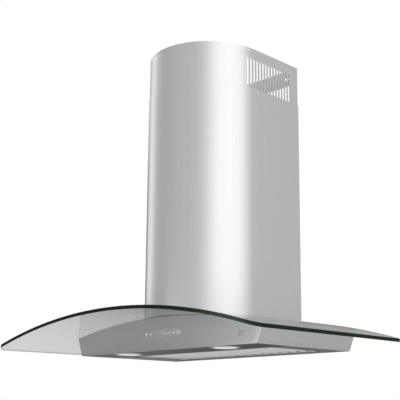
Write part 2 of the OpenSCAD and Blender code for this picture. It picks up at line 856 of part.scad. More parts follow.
module outlet_collar() {
    color([0.7, 0.7, 0.72]) translate([0, -collar_y, 0]) difference() {
        union() {
            ring(collar_r - collar_t, collar_r, box_top, box_top + collar_h);
            ring(collar_r - collar_t - collar_lip, collar_r + 9, box_top, box_top + 0.8);
            ring(collar_r - collar_t - collar_lip, collar_r - collar_t - collar_lip + 1, box_top, seat_z);
            ring(collar_r - collar_t - collar_lip, collar_r - collar_t + 0.1, seat_z - 0.8, seat_z);
        }
        translate([0, 0, spindle_z]) bar_x(spindle_r + press_fit, -collar_r - cut, collar_r + cut);
    }
}
module damper_spindle() {
    color([0.75, 0.75, 0.78]) translate([0, -collar_y, spindle_z])
        bar_x(spindle_r, -collar_r + 0.2, collar_r - 0.2);
}

// Half-round flap towards one side of the spindle, hung on two knuckles
module damper_flap(side) {
    starts = side < 0 ? [-knuckle_ends, knuckle_gap / 2] : [-knuckle_ends + knuckle_l + knuckle_gap,
        knuckle_gap / 2 + knuckle_l + knuckle_gap];
    edge = knuckle_r + 0.4;
    z0 = seat_z + 0.3 - spindle_z;
    color([0.78, 0.78, 0.8]) translate([0, -collar_y, spindle_z]) difference() {
        union() {
            translate([0, 0, z0]) linear_extrude(height = flap_t) {
                intersection() {
                    circle(r = flap_r, $fn = round_fn);
                    translate([-flap_r - cut, side < 0 ? -flap_r - cut : edge])
                        square([2 * (flap_r + cut), flap_r + cut - edge]);
                }
                for (x = starts) translate([x, side < 0 ? -edge - 1 : 0]) square([knuckle_l, edge + 1]);
            }
            for (x = starts) bar_x(knuckle_r, x, x + knuckle_l);
        }
        bar_x(spindle_r + run_fit, -collar_r, collar_r);
    }
}
module damper_flap_front() { damper_flap(-1); }
module damper_flap_rear() { damper_flap(1); }

module junction_box() {
    color([0.2, 0.2, 0.2]) difference() {
        block([junction_x0, junction_y0, box_top], [junction_x1, junction_y1, junction_top]);
        block([junction_x0 + junction_t, junction_y0 + junction_t, box_top + junction_t],
              [junction_x1 - junction_t, junction_y1 - junction_t, junction_top + cut]);
    }
}
module junction_lid() {
    color([0.25, 0.25, 0.25]) difference() {
        block([junction_x0 - junction_lip, junction_y0 - junction_lip, junction_top],
              [junction_x1 + junction_lip, junction_y1 + junction_lip, junction_top + junction_t]);
        translate([gland_x, gland_y, junction_top - cut])
            cylinder(r = gland_r + 0.1, h = junction_t + 2 * cut, $fn = round_fn);
    }
}
// Gland of the mains lead, on the lid; the lead itself is left out
module cable_gland() {
    lid_top = junction_top + junction_t;
    color([0.3, 0.3, 0.3]) translate([gland_x, gland_y, lid_top]) difference() {
        union() {
            translate([0, 0, -gland_nose])
                cylinder(r = gland_r, h = gland_nose + gland_hex_h, $fn = round_fn);
            cylinder(r = gland_hex_r, h = gland_hex_h, $fn = 6);
            translate([0, 0, gland_hex_h]) cylinder(r = gland_cap_r, h = gland_cap_h, $fn = round_fn);
        }
        translate([0, 0, -gland_nose - cut])
            cylinder(r = gland_bore_r, h = gland_nose + gland_hex_h + gland_cap_h + 2 * cut, $fn = round_fn);
    }
}

// Hook on the blower box's back that hangs over the wall rail's lip
module hook_bracket() {
    top = rail_lip_z + hook_head;
    back = -rail_throw + rail_steel + hook_play;
    color([0.6, 0.62, 0.64]) {
        block([-hook_w / 2, -box_rear, rail_lip_z - hook_reach],
              [hook_w / 2, -box_rear + rail_steel, top]);
        block([-hook_w / 2, -box_rear, top - rail_steel], [hook_w / 2, back + rail_steel, top]);
        block([-hook_w / 2, back, rail_lip_z], [hook_w / 2, back + rail_steel, top]);
    }
}
module wall_rail() {
    color([0.66, 0.68, 0.7]) difference() {
        union() {
            block([-rail_w / 2, -rail_steel, rail_z], [rail_w / 2, 0, rail_lip_z]);
            block([-rail_w / 2, -rail_throw, rail_lip_z - rail_steel], [rail_w / 2, 0, rail_lip_z]);
            block([-rail_w / 2, -rail_throw, rail_lip_z - rail_steel],
                  [rail_w / 2, -rail_throw + rail_steel, rail_lip_z + rail_lip_h]);
        }
        for (s = [-1, 1])
            translate([s * rail_spacing / 2, 0, rail_hole_z]) bar_y(rail_screw_r, -rail_steel - cut, cut);
    }
}

// Z-shaped bracket between the blower box and the lower cover
module cover_bracket(side) {
    x0 = box_half;
    x1 = chimney_r - cover_t - nip;
    y0 = -cover_bracket_y - cover_bracket_w;
    y1 = -cover_bracket_y;
    z0 = cover_bracket_z;
    color([0.62, 0.62, 0.64]) mirror([side < 0 ? 1 : 0, 0, 0]) {
        block([x0, y0, z0], [x1, y1, z0 + bracket_t]);
        block([x0, y0, z0], [x0 + bracket_t, y1, z0 + cover_bracket_w]);
        block([x1 - bracket_t, y0, z0], [x1, y1, z0 + cover_bracket_w]);
    }
}
module lower_cover_bracket_left() { cover_bracket(-1); }
module lower_cover_bracket_right() { cover_bracket(1); }

module lower_chimney_cover() {
    color([0.78, 0.78, 0.78]) difference() {
        cover_shell(chimney_r, 0, corner_h, seam_z);
        under_arch(arch_r + nip);
    }
}

module upper_chimney_cover() {
    color([0.8, 0.8, 0.8]) difference() {
        union() {
            cover_shell(upper_r, upper_rear, chimney_top - upper_l, chimney_top);
            // Hem folded inwards at the top edge
            translate([0, 0, chimney_top - hem_h]) linear_extrude(height = hem_h) difference() {
                chimney_plan(upper_in_r + 0.1, upper_rear + cover_t);
                chimney_plan(upper_in_r - cover_t, upper_rear);
            }
        }
        for (i = [0:vents - 1])
            translate([0, -vent_rear - i * vent_pitch, 0]) {
                block([-chimney_r - cut, -vent_w / 2, vent_z + vent_w / 2],
                      [chimney_r + cut, vent_w / 2, vent_z + vent_l - vent_w / 2]);
                for (z = [vent_z + vent_w / 2, vent_z + vent_l - vent_w / 2])
                    translate([0, 0, z]) bar_x(vent_w / 2, -chimney_r - cut, chimney_r + cut);
            }
    }
}

// Bracket across the open back of the upper cover, with pads that stand on the wall
module upper_wall_bracket() {
    half = upper_in_r - cover_t - nip;
    z1 = chimney_top;
    z0 = chimney_top - bracket_h;
    zm = (z0 + z1) / 2;
    color([0.7, 0.7, 0.7]) difference() {
        union() {
            block([-half, -bracket_y - bracket_t, z0], [half, -bracket_y, z1]);
            for (s = [-1, 1]) {
                block([min(s * half, s * (half - bracket_t)), -bracket_depth, z0],
                      [max(s * half, s * (half - bracket_t)), -bracket_y, z1]);
                block([s * bracket_spacing / 2 - bracket_pad_w / 2, -bracket_y - 0.1, z0 + 8],
                      [s * bracket_spacing / 2 + bracket_pad_w / 2, 0, z1 - 8]);
            }
        }
        for (s = [-1, 1]) translate([s * bracket_spacing / 2, 0, zm]) {
            run = bracket_slot_l / 2 - bracket_slot_r;
            block([-run, -bracket_depth, -bracket_slot_r], [run, cut, bracket_slot_r]);
            for (t = [-1, 1]) translate([t * run, 0, 0]) bar_y(bracket_slot_r, -bracket_depth, cut);
        }
    }
}

front_fascia();
side_panel_left();
side_panel_right();
rear_panel();
roof_plate();
underside_frame();
lamp_panel();
glass_canopy();
glass_seals();
glass_clamp_screws();
control_panel();
display_window();
receiver_window();
key_light();
key_slower();
key_faster();
key_power();
control_board();
name_plate();
lamp_bezels();
lamp_lenses();
lamp_housings();
lamp_driver();
filter_frame();
filter_lower_baffles();
filter_upper_baffles();
filter_hinge_pins();
filter_catch();
filter_catch_spring();
blower_box();
scroll_half_left();
scroll_half_right();
wheel_disc();
wheel_rings();
wheel_blades();
motor_shaft();
fan_motor();
motor_spider();
motor_capacitor();
outlet_collar();
damper_spindle();
damper_flap_front();
damper_flap_rear();
junction_box();
junction_lid();
cable_gland();
hook_bracket();
wall_rail();
lower_cover_bracket_left();
lower_cover_bracket_right();
lower_chimney_cover();
upper_chimney_cover();
upper_wall_bracket();
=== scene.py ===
# %% [markdown]
# # A wall-mount range hood with an arched glass canopy
# This lesson dresses a range hood whose solids were built in CAD. The solids already have the right
# sizes and places, and they move with the joints. What they lack is what the eye reads as real:
# rounded folds, thin hems, a polished green glass edge, brushed steel and soft reflections.
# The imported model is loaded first, because every piece made here is measured from it.

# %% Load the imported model
import json
from math import cos, pi, radians, sin

import bmesh
import bpy
import numpy as np
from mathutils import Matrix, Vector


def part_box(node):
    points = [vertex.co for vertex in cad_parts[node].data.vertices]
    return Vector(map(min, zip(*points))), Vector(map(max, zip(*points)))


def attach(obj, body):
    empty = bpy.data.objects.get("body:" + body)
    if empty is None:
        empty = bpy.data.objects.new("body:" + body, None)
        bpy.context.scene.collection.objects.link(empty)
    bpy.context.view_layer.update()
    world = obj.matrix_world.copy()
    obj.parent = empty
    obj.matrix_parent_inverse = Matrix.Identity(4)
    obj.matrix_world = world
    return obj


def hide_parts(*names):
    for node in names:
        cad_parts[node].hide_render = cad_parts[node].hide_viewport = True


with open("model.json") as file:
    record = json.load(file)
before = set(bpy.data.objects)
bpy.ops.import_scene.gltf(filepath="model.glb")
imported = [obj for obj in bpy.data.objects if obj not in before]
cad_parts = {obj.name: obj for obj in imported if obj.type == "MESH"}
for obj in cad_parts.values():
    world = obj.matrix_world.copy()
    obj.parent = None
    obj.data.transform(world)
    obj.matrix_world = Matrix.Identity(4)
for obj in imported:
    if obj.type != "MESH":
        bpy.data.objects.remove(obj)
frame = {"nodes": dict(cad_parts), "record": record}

record = frame["record"]
SLOT = {part["node"]: part["material_slot"] for part in record["subparts"]}
BODY = {node: body for body, nodes in record["behaviour"]["bodies"].items() for node in nodes}
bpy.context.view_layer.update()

# %% [markdown]
# ## The camera
# The photograph was taken from the right, a little below the hood, with a long lens. A pinhole
# camera was fitted to the hood's straight edges. The picture is a crop from a larger frame, and a
# small lens shift stands for that, so that the upright edges lean as they do in the photograph.

# %% Camera
lens = bpy.data.cameras.new("camera")
lens.lens = 78.87
lens.sensor_width = 36.0
lens.shift_x = -0.0943
lens.shift_y = 0.0800
camera = bpy.data.objects.new("camera", lens)
camera.location = (1.5658, -1.7394, -0.1520)
camera.rotation_euler = (radians(90 + 11.84), 0.0, radians(43.13))
bpy.context.scene.collection.objects.link(camera)
bpy.context.scene.camera = camera
bpy.context.scene.view_settings.view_transform = "Standard"
print("camera at", tuple(round(v, 4) for v in camera.location), "lens", lens.lens)

# %% [markdown]
# ## Shader arithmetic
# A material is a sum of small calculations. Written as nodes they take a screen each. Here a socket
# is wrapped in a small class, and Python's operators add the Math nodes. Every other node
# comes from one method, which takes the node's type, its settings and what its sockets get.


# %% Sockets that can be added and multiplied
class Value:
    """A socket of a node tree. Arithmetic on it adds Math nodes and gives the result's socket."""

    def __init__(self, tree, socket):
        self.tree, self.socket = tree, socket

    def _math(self, operation, *values):
        return self.tree.add("Math", {"operation": operation}, dict(enumerate(values)))

    def __add__(self, other):
        return self._math("ADD", self, other)

    def __sub__(self, other):
        return self._math("SUBTRACT", self, other)

    def __rsub__(self, other):
        return self._math("SUBTRACT", other, self)

    def __mul__(self, other):
        return self._math("MULTIPLY", self, other)

    __radd__, __rmul__ = __add__, __mul__


class Tree:
    """A node tree, with one method that adds any node."""

    def __init__(self, owner):
        owner.use_nodes = True
        self.nodes, self.links = owner.node_tree.nodes, owner.node_tree.links
        self.nodes.clear()

    def add(self, kind, settings=None, sockets=None, out=0):
        """Adds a node, makes its settings, feeds its sockets and returns one of its outputs."""
        node = self.nodes.new("ShaderNode" + kind)
        for key, value in (settings or {}).items():
            if key == "stops":
                ramp = node.color_ramp.elements
                for n, (place, colour) in enumerate(value):
                    stop = ramp[n] if n < 2 else ramp.new(place)
                    stop.position, stop.color = place, colour
            else:
                setattr(node, key, value)
        for key, value in (sockets or {}).items():
            if isinstance(value, Value):
                self.links.new(value.socket, node.inputs[key])
            else:
                node.inputs[key].default_value = value
        return Value(self, node.outputs[out]) if len(node.outputs) else node


def rgb(tone, tint=(1.0, 1.0, 1.0)):
    """A colour with its alpha: a grey tone times a tint."""
    return (*[min(1.0, tone * t) for t in tint], 1.0)


# %% [markdown]
# ## One recipe for every finish
# Every finish here is a Principled surface. Two noises, stretched along the grain where there is
# one, vary its colour and its roughness and lift a very shallow relief. Rolled and
# brushed steel has long fine scratches, a casting has grains, and moulded plastic has a fine even
# texture, so that only the noise's scale and strength change from one finish to the next.


# %% The recipe
FINE, BROAD, CONTRAST = 0.7, 0.3, 2.5
WHITE = (1.0, 1.0, 1.0)


def finish(name, tone, tint, grain, spread, metallic, roughness, rough_spread, relief, fixed=None):
    """A material whose colour, roughness and relief follow a fine and a broad noise.

    The fine noise has the grain's scale in cycles a metre, one number or one each along X, Y and
    Z, and the broad one an eighth of it. Colour = tone * (1 - spread ... 1 + spread), roughness =
    roughness + rough_spread * (noise - 1/2), and the relief is a height of so many tenths of a
    millimetre. Any other socket gets a fixed value."""
    material = bpy.data.materials.new(name)
    tree = Tree(material)
    place = tree.add("TexCoord", {}, {}, "Object")

    def noise(scale, detail):
        spot = tree.add("Mapping", {}, {"Vector": place, "Scale": scale})
        return tree.add("TexNoise", {}, {"Vector": spot, "Scale": 1.0, "Detail": detail})

    scale = [float(g) for g in np.broadcast_to(grain, 3)]
    mask = noise(scale, 3.0) * FINE + noise([g / 8 for g in scale], 2.0) * BROAD
    colour = tree.add("Mix", {"data_type": "RGBA"}, {
        0: (mask - 0.5) * CONTRAST + 0.5,
        6: rgb(tone * (1 - spread), tint), 7: rgb(tone * (1 + spread), tint)}, 2)
    bump = tree.add("Bump", {}, {"Strength": 1.0, "Distance": relief * 0.0001, "Height": mask})
    surface = tree.add("BsdfPrincipled", {}, {
        "Base Color": colour, "Metallic": metallic, "Normal": bump,
        "Roughness": (mask - 0.5) * rough_spread + roughness, **(fixed or {})})
    tree.add("OutputMaterial", {}, {"Surface": surface})
    return material


# %% [markdown]
# ## The metals
# The chimney is brushed upright and the body along the wall. Their scratches are much finer than
# a pixel, so from the photograph's distance they show as faint streaks and as the softness of
# the reflections. The filter is satin, and the sheets inside are dull galvanised steel. A row has
# the material's name, tone, tint, grain, spread, metallic share, roughness, the roughness' spread
# and relief.

# %% Metals and paints
ALONG_X, ALONG_Y, UPRIGHT = (7, 2400, 2400), (2400, 7, 2400), (2400, 2400, 7)
METALS = {
    "chimney_steel": ("brushed_steel_upright", 0.47, WHITE, UPRIGHT, 0.025, 1.0, 0.23, 0.06, 0.02),
    "body_steel": ("brushed_steel_along_wall", 0.415, WHITE, ALONG_X, 0.03, 1.0, 0.24, 0.07, 0.025),
    "sides": ("brushed_steel_side", 0.44, WHITE, ALONG_Y, 0.025, 1.0, 0.28, 0.06, 0.02),
    "strip": ("control_strip_steel", 0.44, WHITE, ALONG_X, 0.04, 1.0, 0.36, 0.08, 0.04),
    "underside_steel": ("underside_steel", 0.40, WHITE, ALONG_X, 0.06, 1.0, 0.34, 0.10, 0.05),
    # The lamp panel is the underside's steel at a third of its tone: painted shade for the dark
    # surroundings that its low face reflects.
    "lamp_panel": ("lamp_panel_steel_painted_shade", 0.13, WHITE, ALONG_X, 0.06, 1.0, 0.36, 0.10, 0.05),
    "filter_steel": ("satin_filter_steel", 0.74, WHITE, ALONG_Y, 0.06, 1.0, 0.45, 0.12, 0.08),
    "galvanised_steel": ("galvanised_sheet", 0.50, (0.97, 0.99, 1.0), 90, 0.1, 1.0, 0.48, 0.2, 0.1),
    "bright_steel": ("bright_steel", 0.66, (1.0, 1.0, 0.99), 500, 0.05, 1.0, 0.24, 0.10, 0.03),
    "bracket_paint": ("grey_powder_coat", 0.62, WHITE, 900, 0.15, 0.0, 0.5, 0.15, 1.0),
    "motor_paint": ("motor_enamel", 0.40, (0.98, 1.0, 1.03), 250, 0.06, 0.3, 0.42, 0.1, 0.4),
    "lamp_body": ("dark_anodised_casting", 0.12, (1.0, 1.0, 1.03), 400, 0.1, 0.6, 0.5, 0.1, 0.3)}
FINISH = {slot: finish(*row) for slot, row in METALS.items()}
print("metals and paints:", len(FINISH))

# %% [markdown]
# ## Plastics, rubber and glass
# The lamp lens is a frosted white diffuser with a faint glow. The keys are satin silver plastic
# with white marks. The canopy is clear glass that is very slightly green, and the green only shows
# where one looks through a lot of it: at the edge. So the sheet gets a clear material, and its
# edge band a dark green one that is polished. That is cheaper and steadier than following light
# for half a metre through tinted glass.

# %% Plastics, rubber and glass
PLASTICS = {
    "lamp_diffuser": ("frosted_diffuser", 0.90, (1.0, 1.0, 0.98), 300, 0.02, 0.0, 0.45, 0.1, 0.3,
                      {"Emission Color": rgb(1.0), "Emission Strength": 0.12}),
    "key_steel": ("key_silver", 0.46, WHITE, 800, 0.04, 0.6, 0.38, 0.1, 0.3),
    "print": ("white_print", 0.95, WHITE, 700, 0.02, 0.0, 0.5, 0.1, 0.2),
    "display_glass": ("display_window_glass", 0.44, WHITE, 300, 0.04, 0.95, 0.32, 0.05, 0.05),
    "receiver_plastic": ("receiver_window", 0.55, WHITE, 600, 0.04, 0.3, 0.35, 0.1, 0.2),
    "board_laminate": ("board_laminate", 0.22, (0.25, 1.0, 0.45), 350, 0.12, 0.0, 0.4, 0.1, 0.3),
    "white_plastic": ("white_moulding", 0.82, (1.0, 1.0, 0.97), 700, 0.03, 0.0, 0.5, 0.1, 0.6),
    "black_plastic": ("black_moulding", 0.045, (1.0, 1.0, 1.02), 800, 0.2, 0.0, 0.48, 0.15, 0.9),
    "seal_rubber": ("seal_rubber", 0.03, WHITE, 600, 0.2, 0.0, 0.75, 0.1, 0.8),
    "canopy_glass": ("canopy_glass_sheet", 0.73, (0.99, 1.0, 0.99), 12, 0.01, 0.0, 0.015, 0.01, 0.0,
                     {"Transmission Weight": 1.0, "IOR": 1.5}),
    "wall_edge": ("canopy_glass_ground_edge", 0.52, (0.96, 1.0, 0.97), 300, 0.05, 0.0, 0.4, 0.1,
                  0.3)}
FINISH.update({slot: finish(*row) for slot, row in PLASTICS.items()})
print("all finishes:", len(FINISH))

# %% [markdown]
# ## The polished edge of the glass
# The edge is nearly black, and greener and paler towards the front right corner, where light
# that travels inside the sheet comes out. A colour ramp over X gives that swell. Seen from inside
# the sheet the edge is clear.

# %% Glass edge
edge_glass = bpy.data.materials.new("canopy_glass_edge")
tree = Tree(edge_glass)
place = tree.add("TexCoord", {}, {}, "Object")
along = tree.add("SeparateXYZ", {}, {"Vector": place}, "X")
streaks = tree.add("TexNoise", {}, {"Vector": place, "Scale": 45.0, "Detail": 3.0})
DARK, MID, PALE = ((*colour, 1.0) for colour in (
    (0.003, 0.0115, 0.004), (0.012, 0.026, 0.013), (0.042, 0.072, 0.046)))
swell = tree.add("ValToRGB", {
    "stops": [(0.0, DARK), (0.36, MID), (0.60, PALE), (0.84, PALE), (1.0, DARK)]},
    {"Fac": (along - 0.20) * 4.0})
varied = tree.add("Mix", {"data_type": "RGBA"}, {0: streaks * 0.3, 6: swell, 7: DARK}, 2)
polished = tree.add("BsdfPrincipled", {}, {
    "Base Color": varied, "Roughness": streaks * 0.1 + 0.08, "Specular IOR Level": 0.07})


def front_only(tree, front, back):
    """The front's shader on a face's outer side, and the back's on its inner side."""
    inside = tree.add("NewGeometry", {}, {}, "Backfacing")
    mixed = tree.add("MixShader", {}, {0: inside, 1: front, 2: back})
    tree.add("OutputMaterial", {}, {"Surface": mixed})


front_only(tree, polished, tree.add("BsdfTransparent", {}, {"Color": (0.46, 0.53, 0.47, 1.0)}))
for node, item in frame["nodes"].items():
    item.data.materials.clear()
    item.data.materials.append(FINISH[SLOT[node]])
print("dressed CAD nodes:", len(frame["nodes"]))

# %% [markdown]
# ## The studio
# Steel shows nothing but its surroundings, so the studio is a part of the finish. The background
# is white, for the camera and for what metal and glass show of it. A plain grey-white level and
# three area lights light the matt pieces, about as strongly as a white sheet needs to look white.
# The floor is pale, and clear from below, so that it never hides the hood's underside.


# %% World and floor
def background(tone):
    return studio.add("Background", {}, {"Color": rgb(1.0), "Strength": tone})


world = bpy.data.worlds.new("studio")
bpy.context.scene.world = world
studio = Tree(world)
white = sum(studio.add("LightPath", {}, {}, f"Is {ray} Ray")
            for ray in ("Camera", "Glossy", "Transmission"))
white.socket.node.use_clamp = True
studio.add("OutputWorld", {}, {"Surface": studio.add("MixShader", {}, {
    0: white, 1: background(0.75), 2: background(1.0)})})

FLOOR_Z, FLOOR_SIDE, MIDDLE_Y, MIDDLE_Z = -0.95, 14.0, -0.18, 0.3


def stage_object(name, points, faces, material):
    """A floor or wall of the studio, which isn't part of the hood."""
    mesh = bpy.data.meshes.new(name)
    mesh.from_pydata(np.asarray(points, float).tolist(), [], np.asarray(faces).tolist())
    mesh.materials.append(material)
    made = bpy.data.objects.new(name, mesh)
    bpy.context.scene.collection.objects.link(made)
    return made


floor_paint = bpy.data.materials.new("pale_floor")
tree = Tree(floor_paint)
spot = tree.add("TexCoord", {}, {}, "Object")
away = tree.add("VectorMath", {"operation": "LENGTH"}, {0: spot}, "Value")
lift = (away - 1.5) * 0.12
lift.socket.node.use_clamp = True
mottle = tree.add("TexNoise", {}, {"Vector": spot, "Scale": 6.0})
pale = tree.add("Mix", {"data_type": "RGBA"}, {0: mottle, 6: rgb(0.83), 7: rgb(0.85)}, 2)
painted = tree.add("BsdfPrincipled", {}, {
    "Base Color": pale, "Roughness": 0.7, "Emission Color": rgb(1.0),
    "Emission Strength": tree.add("LightPath", {}, {}, "Is Camera Ray") * (lift + 0.25)})
front_only(tree, painted, tree.add("BsdfTransparent"))
corners = FLOOR_SIDE * np.array([(-1, -1, 0), (1, -1, 0), (1, 1, 0), (-1, 1, 0)])
stage_object("floor", corners + (0, 0, FLOOR_Z), [(0, 1, 2, 3)], floor_paint)


# %% Area lights
def area_light(name, azimuth, elevation, distance, width, height, radiance):
    """A soft box that looks at the hood. Its power is radiance * pi * width * height."""
    lamp = bpy.data.lights.new(name, "AREA")
    lamp.shape, lamp.size, lamp.size_y = "RECTANGLE", width, height
    lamp.energy = radiance * pi * width * height
    light = bpy.data.objects.new(name, lamp)
    a, e = radians(azimuth), radians(elevation)
    light.location = (distance * cos(a) * cos(e), distance * sin(a) * cos(e) + MIDDLE_Y,
                      distance * sin(e) + MIDDLE_Z)
    light.rotation_euler = (radians(90) - e, 0.0, a + radians(90))
    light.visible_glossy = light.visible_transmission = light.visible_camera = False
    bpy.context.scene.collection.objects.link(light)


area_light("broad_light", -11, 6, 2.4, 2.7, 2.6, 1.5)
area_light("narrow_light", 175, 6, 2.6, 1.3, 2.4, 1.0)
area_light("overhead_light", -90, 80, 2.6, 2.4, 2.4, 0.7)

# %% [markdown]
# ## The wall that the steel reflects
# A round chimney shows the whole room as upright bands: a broad bright one, a narrow one at its
# far edge, and grey between them. Soft boxes with hard edges would show as stripes. So a
# ring of wall stands round the hood, seen by reflections alone, and its glow swells and fades with
# the azimuth, like a soft box whose cloth is darker towards the rim. Its foot has levels of its
# own, because the fascia and the underside look lower than the chimney does. Each level belongs to
# an azimuth in degrees.

# %% Reflection wall
WALL_R, WALL_TOP, SKIRTING = 1.6, 2.2, (0.08, 0.36)
TOP_FADE, FOOT_FADE = (0.8, 1.2), (-0.4, -0.7)
HIGH = {-180: 1.42, -174: 1.50, -167: 1.38, -160: 1.10, -152: 0.88, -140: 0.80, -113: 0.86,
        -89: 0.96, -70: 0.98, -55: 1.20, -47: 1.46, -39: 1.74, -28: 2.00, -12: 2.10, 5: 2.06,
        18: 1.76, 28: 1.36, 35: 1.02, 50: 0.93, 80: 0.90, 96: 0.50, 104: 0.35, 118: 0.34,
        128: 0.34, 143: 0.20, 152: 0.14, 160: 0.20, 167: 0.50, 174: 1.05}
LOW = {-180: 0.60, -150: 0.58, -136: 0.54, -127: 0.53, -121: 1.20, -113: 1.60, -98: 1.25,
       -85: 1.15, -60: 1.20, -10: 1.60, 30: 0.94, 57: 0.79, 80: 0.70, 98: 0.40, 110: 0.10,
       117: 0.03, 133: 0.03, 141: 0.20, 150: 0.30, 165: 0.50}
END_LEVELS = (0.75, 0.26)


def level(azimuth, stops):
    """Brightness at an azimuth in degrees, straight between the stops and joined across 180."""
    return np.interp(azimuth, list(stops), list(stops.values()), period=360)


def fade(value, start, end):
    """A share that grows from 0 at the start to 1 at the end, and stays at 0 or 1 outside."""
    return np.clip((value - start) / (end - start), 0, 1)


azimuth = np.linspace(-180, 180, 121)
height = np.concatenate([[FLOOR_Z, *FOOT_FADE[::-1]], np.linspace(*SKIRTING, 5),
                         [*TOP_FADE, WALL_TOP]])
share = fade(height, *SKIRTING)[:, None]
glow = level(azimuth, LOW) * (1 - share) + level(azimuth, HIGH) * share
ends = np.maximum(fade(height, *TOP_FADE), fade(height, *FOOT_FADE))[:, None]
glow = np.maximum(glow, np.where(height[:, None] > 0, *END_LEVELS) * ends)
turn = np.radians(azimuth)
ring = np.stack(np.broadcast_arrays(
    WALL_R * np.cos(turn), WALL_R * np.sin(turn) + MIDDLE_Y, height[:, None]), -1)


def quads(rows, columns, wrap=False):
    """Faces of a grid of points: each joins a point, the next one in its row, and the two above."""
    across = columns if wrap else columns - 1
    i, j = np.meshgrid(np.arange(rows - 1), np.arange(across), indexing="ij")
    k = (j + 1) % columns
    faces = [i * columns + j, i * columns + k, (i + 1) * columns + k, (i + 1) * columns + j]
    return np.stack(faces, -1).reshape(-1, 4)


wall_glow = bpy.data.materials.new("wall_glow")
tree = Tree(wall_glow)
tree.add("OutputMaterial", {}, {"Surface": tree.add("Emission", {}, {
    "Strength": tree.add("Attribute", {"attribute_name": "glow"}, {}, "Fac")})})
wall = stage_object("reflection_wall", ring.reshape(-1, 3), quads(*glow.shape), wall_glow)
levels = wall.data.attributes.new("glow", "FLOAT", "POINT").data
levels.foreach_set("value", glow.reshape(-1).astype(np.float32))
for ray in ("camera", "diffuse", "shadow", "transmission"):
    setattr(wall, "visible_" + ray, False)
print("reflection wall: glow from", glow.min().round(2), "to", glow.max().round(2))

# %% [markdown]
# ## Making a piece
# A piece is a grid of points and a list of faces. The points come from arrays, in millimetres, and
# one function turns them into an object in metres that rides on a body and stands for its
# CAD node. Shading is smooth, and edges sharper than a set angle stay crisp.


# %% From arrays to a piece
MM = 0.001


def joined(*parts):
    """Several (points, faces) as one, with the faces counted on."""
    points, faces, start = [], [], 0
    for some_points, some_faces in parts:
        points.append(np.asarray(some_points, float).reshape(-1, 3))
        faces += [[start + int(v) for v in face] for face in some_faces]
        start += len(points[-1])
    return np.concatenate(points), faces


def repeated(points, faces, places):
    """Copies of one shape, moved to places or made by a function of its points, as one shape."""
    points = np.asarray(points, float)
    if callable(places):
        copies = places(points)
    else:
        copies = points[None] + np.asarray(places, float)[:, None]
    return joined(*[(copy, faces) for copy in copies])


def dressed(name, mesh, materials, sharp, body, node=None):
    """An object of a mesh with its materials. It rides on a body and may stand for a CAD node."""
    mesh.shade_smooth()
    mesh.set_sharp_from_angle(angle=radians(sharp))
    mesh.materials.clear()
    for material in materials:
        mesh.materials.append(material)
    made = bpy.data.objects.new(name, mesh)
    bpy.context.scene.collection.objects.link(made)
    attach(made, body)
    if node:
        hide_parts(node)
    return made


def piece(name, shape, node=None, slot=None, body="hood", materials=None, sharp=35, repair=True):
    """An object from (points in millimetres, faces). It takes its node's body and slot."""
    points, faces = shape
    mesh = bpy.data.meshes.new(name)
    mesh.from_pydata((np.asarray(points) * MM).tolist(), [], [list(map(int, f)) for f in faces])
    shell = bmesh.new()
    shell.from_mesh(mesh)
    bmesh.ops.remove_doubles(shell, verts=shell.verts, dist=1e-7)
    if repair:
        bmesh.ops.recalc_face_normals(shell, faces=shell.faces)
    shell.to_mesh(mesh)
    shell.free()
    slot = slot or SLOT[node]
    return dressed(name, mesh, materials or [FINISH[slot]], sharp, BODY.get(node, body), node)


def measure(node):
    """A CAD node's lowest and highest corners, in millimetres."""
    low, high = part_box(node)
    return np.array(low) / MM, np.array(high) / MM


# %% [markdown]
# ## Sheets, pressings and castings that keep their CAD shape
# Many pieces already have the right form and only lack the small round that every cut or folded
# sheet has. A copy of the mesh is welded, its flat triangles are dissolved into whole faces, and
# a Bevel modifier rounds the sharp edges. The highlight on that thin round is what makes a
# plate look like metal. The radii are in millimetres.


# %% Rounded copies of CAD nodes
def soften(made, radius, sharp=32, segments=2):
    """Rounds every edge that is sharper than an angle, by a radius in millimetres."""
    bevel = made.modifiers.new("round", "BEVEL")
    bevel.width, bevel.segments = radius * MM, segments
    bevel.limit_method, bevel.angle_limit = "ANGLE", radians(sharp)
    bevel.harden_normals = True
    return made


def rounded_copy(node, radius, material, sharp=32):
    """A welded copy of a CAD node with rounded edges."""
    shell = bmesh.new()
    shell.from_mesh(frame["nodes"][node].data)
    bmesh.ops.remove_doubles(shell, verts=shell.verts, dist=2e-6)
    bmesh.ops.dissolve_limit(shell, angle_limit=radians(0.5), verts=shell.verts, edges=shell.edges)
    mesh = bpy.data.meshes.new(node + "_formed")
    shell.to_mesh(mesh)
    shell.free()
    made = dressed(node + "_formed", mesh, [material], sharp, BODY[node], node)
    if radius:
        soften(made, radius, sharp)


ROUNDED = {
    "rear_panel": 0.25, "roof_plate": 0.2, "underside_frame": 0.3, "lamp_panel": 0.3,
    "blower_box": 0.2, "outlet_collar": 0.15, "hook_bracket": 0.4, "wall_rail": 0.4,
    "lower_cover_bracket_left": 0.4, "lower_cover_bracket_right": 0.4, "upper_wall_bracket": 0.35,
    "lamp_driver": 1.0, "junction_box": 0.6, "junction_lid": 0.5, "filter_frame": 0.2,
    "filter_hinge_pins": 0.3, "damper_flap_front": 0.15, "damper_flap_rear": 0.15,
    "damper_spindle": 0.2, "scroll_half_left": 0.3, "scroll_half_right": 0.3,
    "lamp_housings": 0.8, "control_board": 0.2, "filter_catch": 0.4, "motor_shaft": 0.5,
    "glass_seals": 0.0, "glass_clamp_screws": 0.3, "control_panel": 0.15}
# The lamp panel takes the darker steel with its painted shade, and the control panel the strip's
# steel.
special = {"lamp_panel": FINISH["lamp_panel"], "control_panel": FINISH["strip"]}
for node, radius in ROUNDED.items():
    rounded_copy(node, radius, special.get(node, FINISH[SLOT[node]]))
print("rounded copies:", len(ROUNDED))

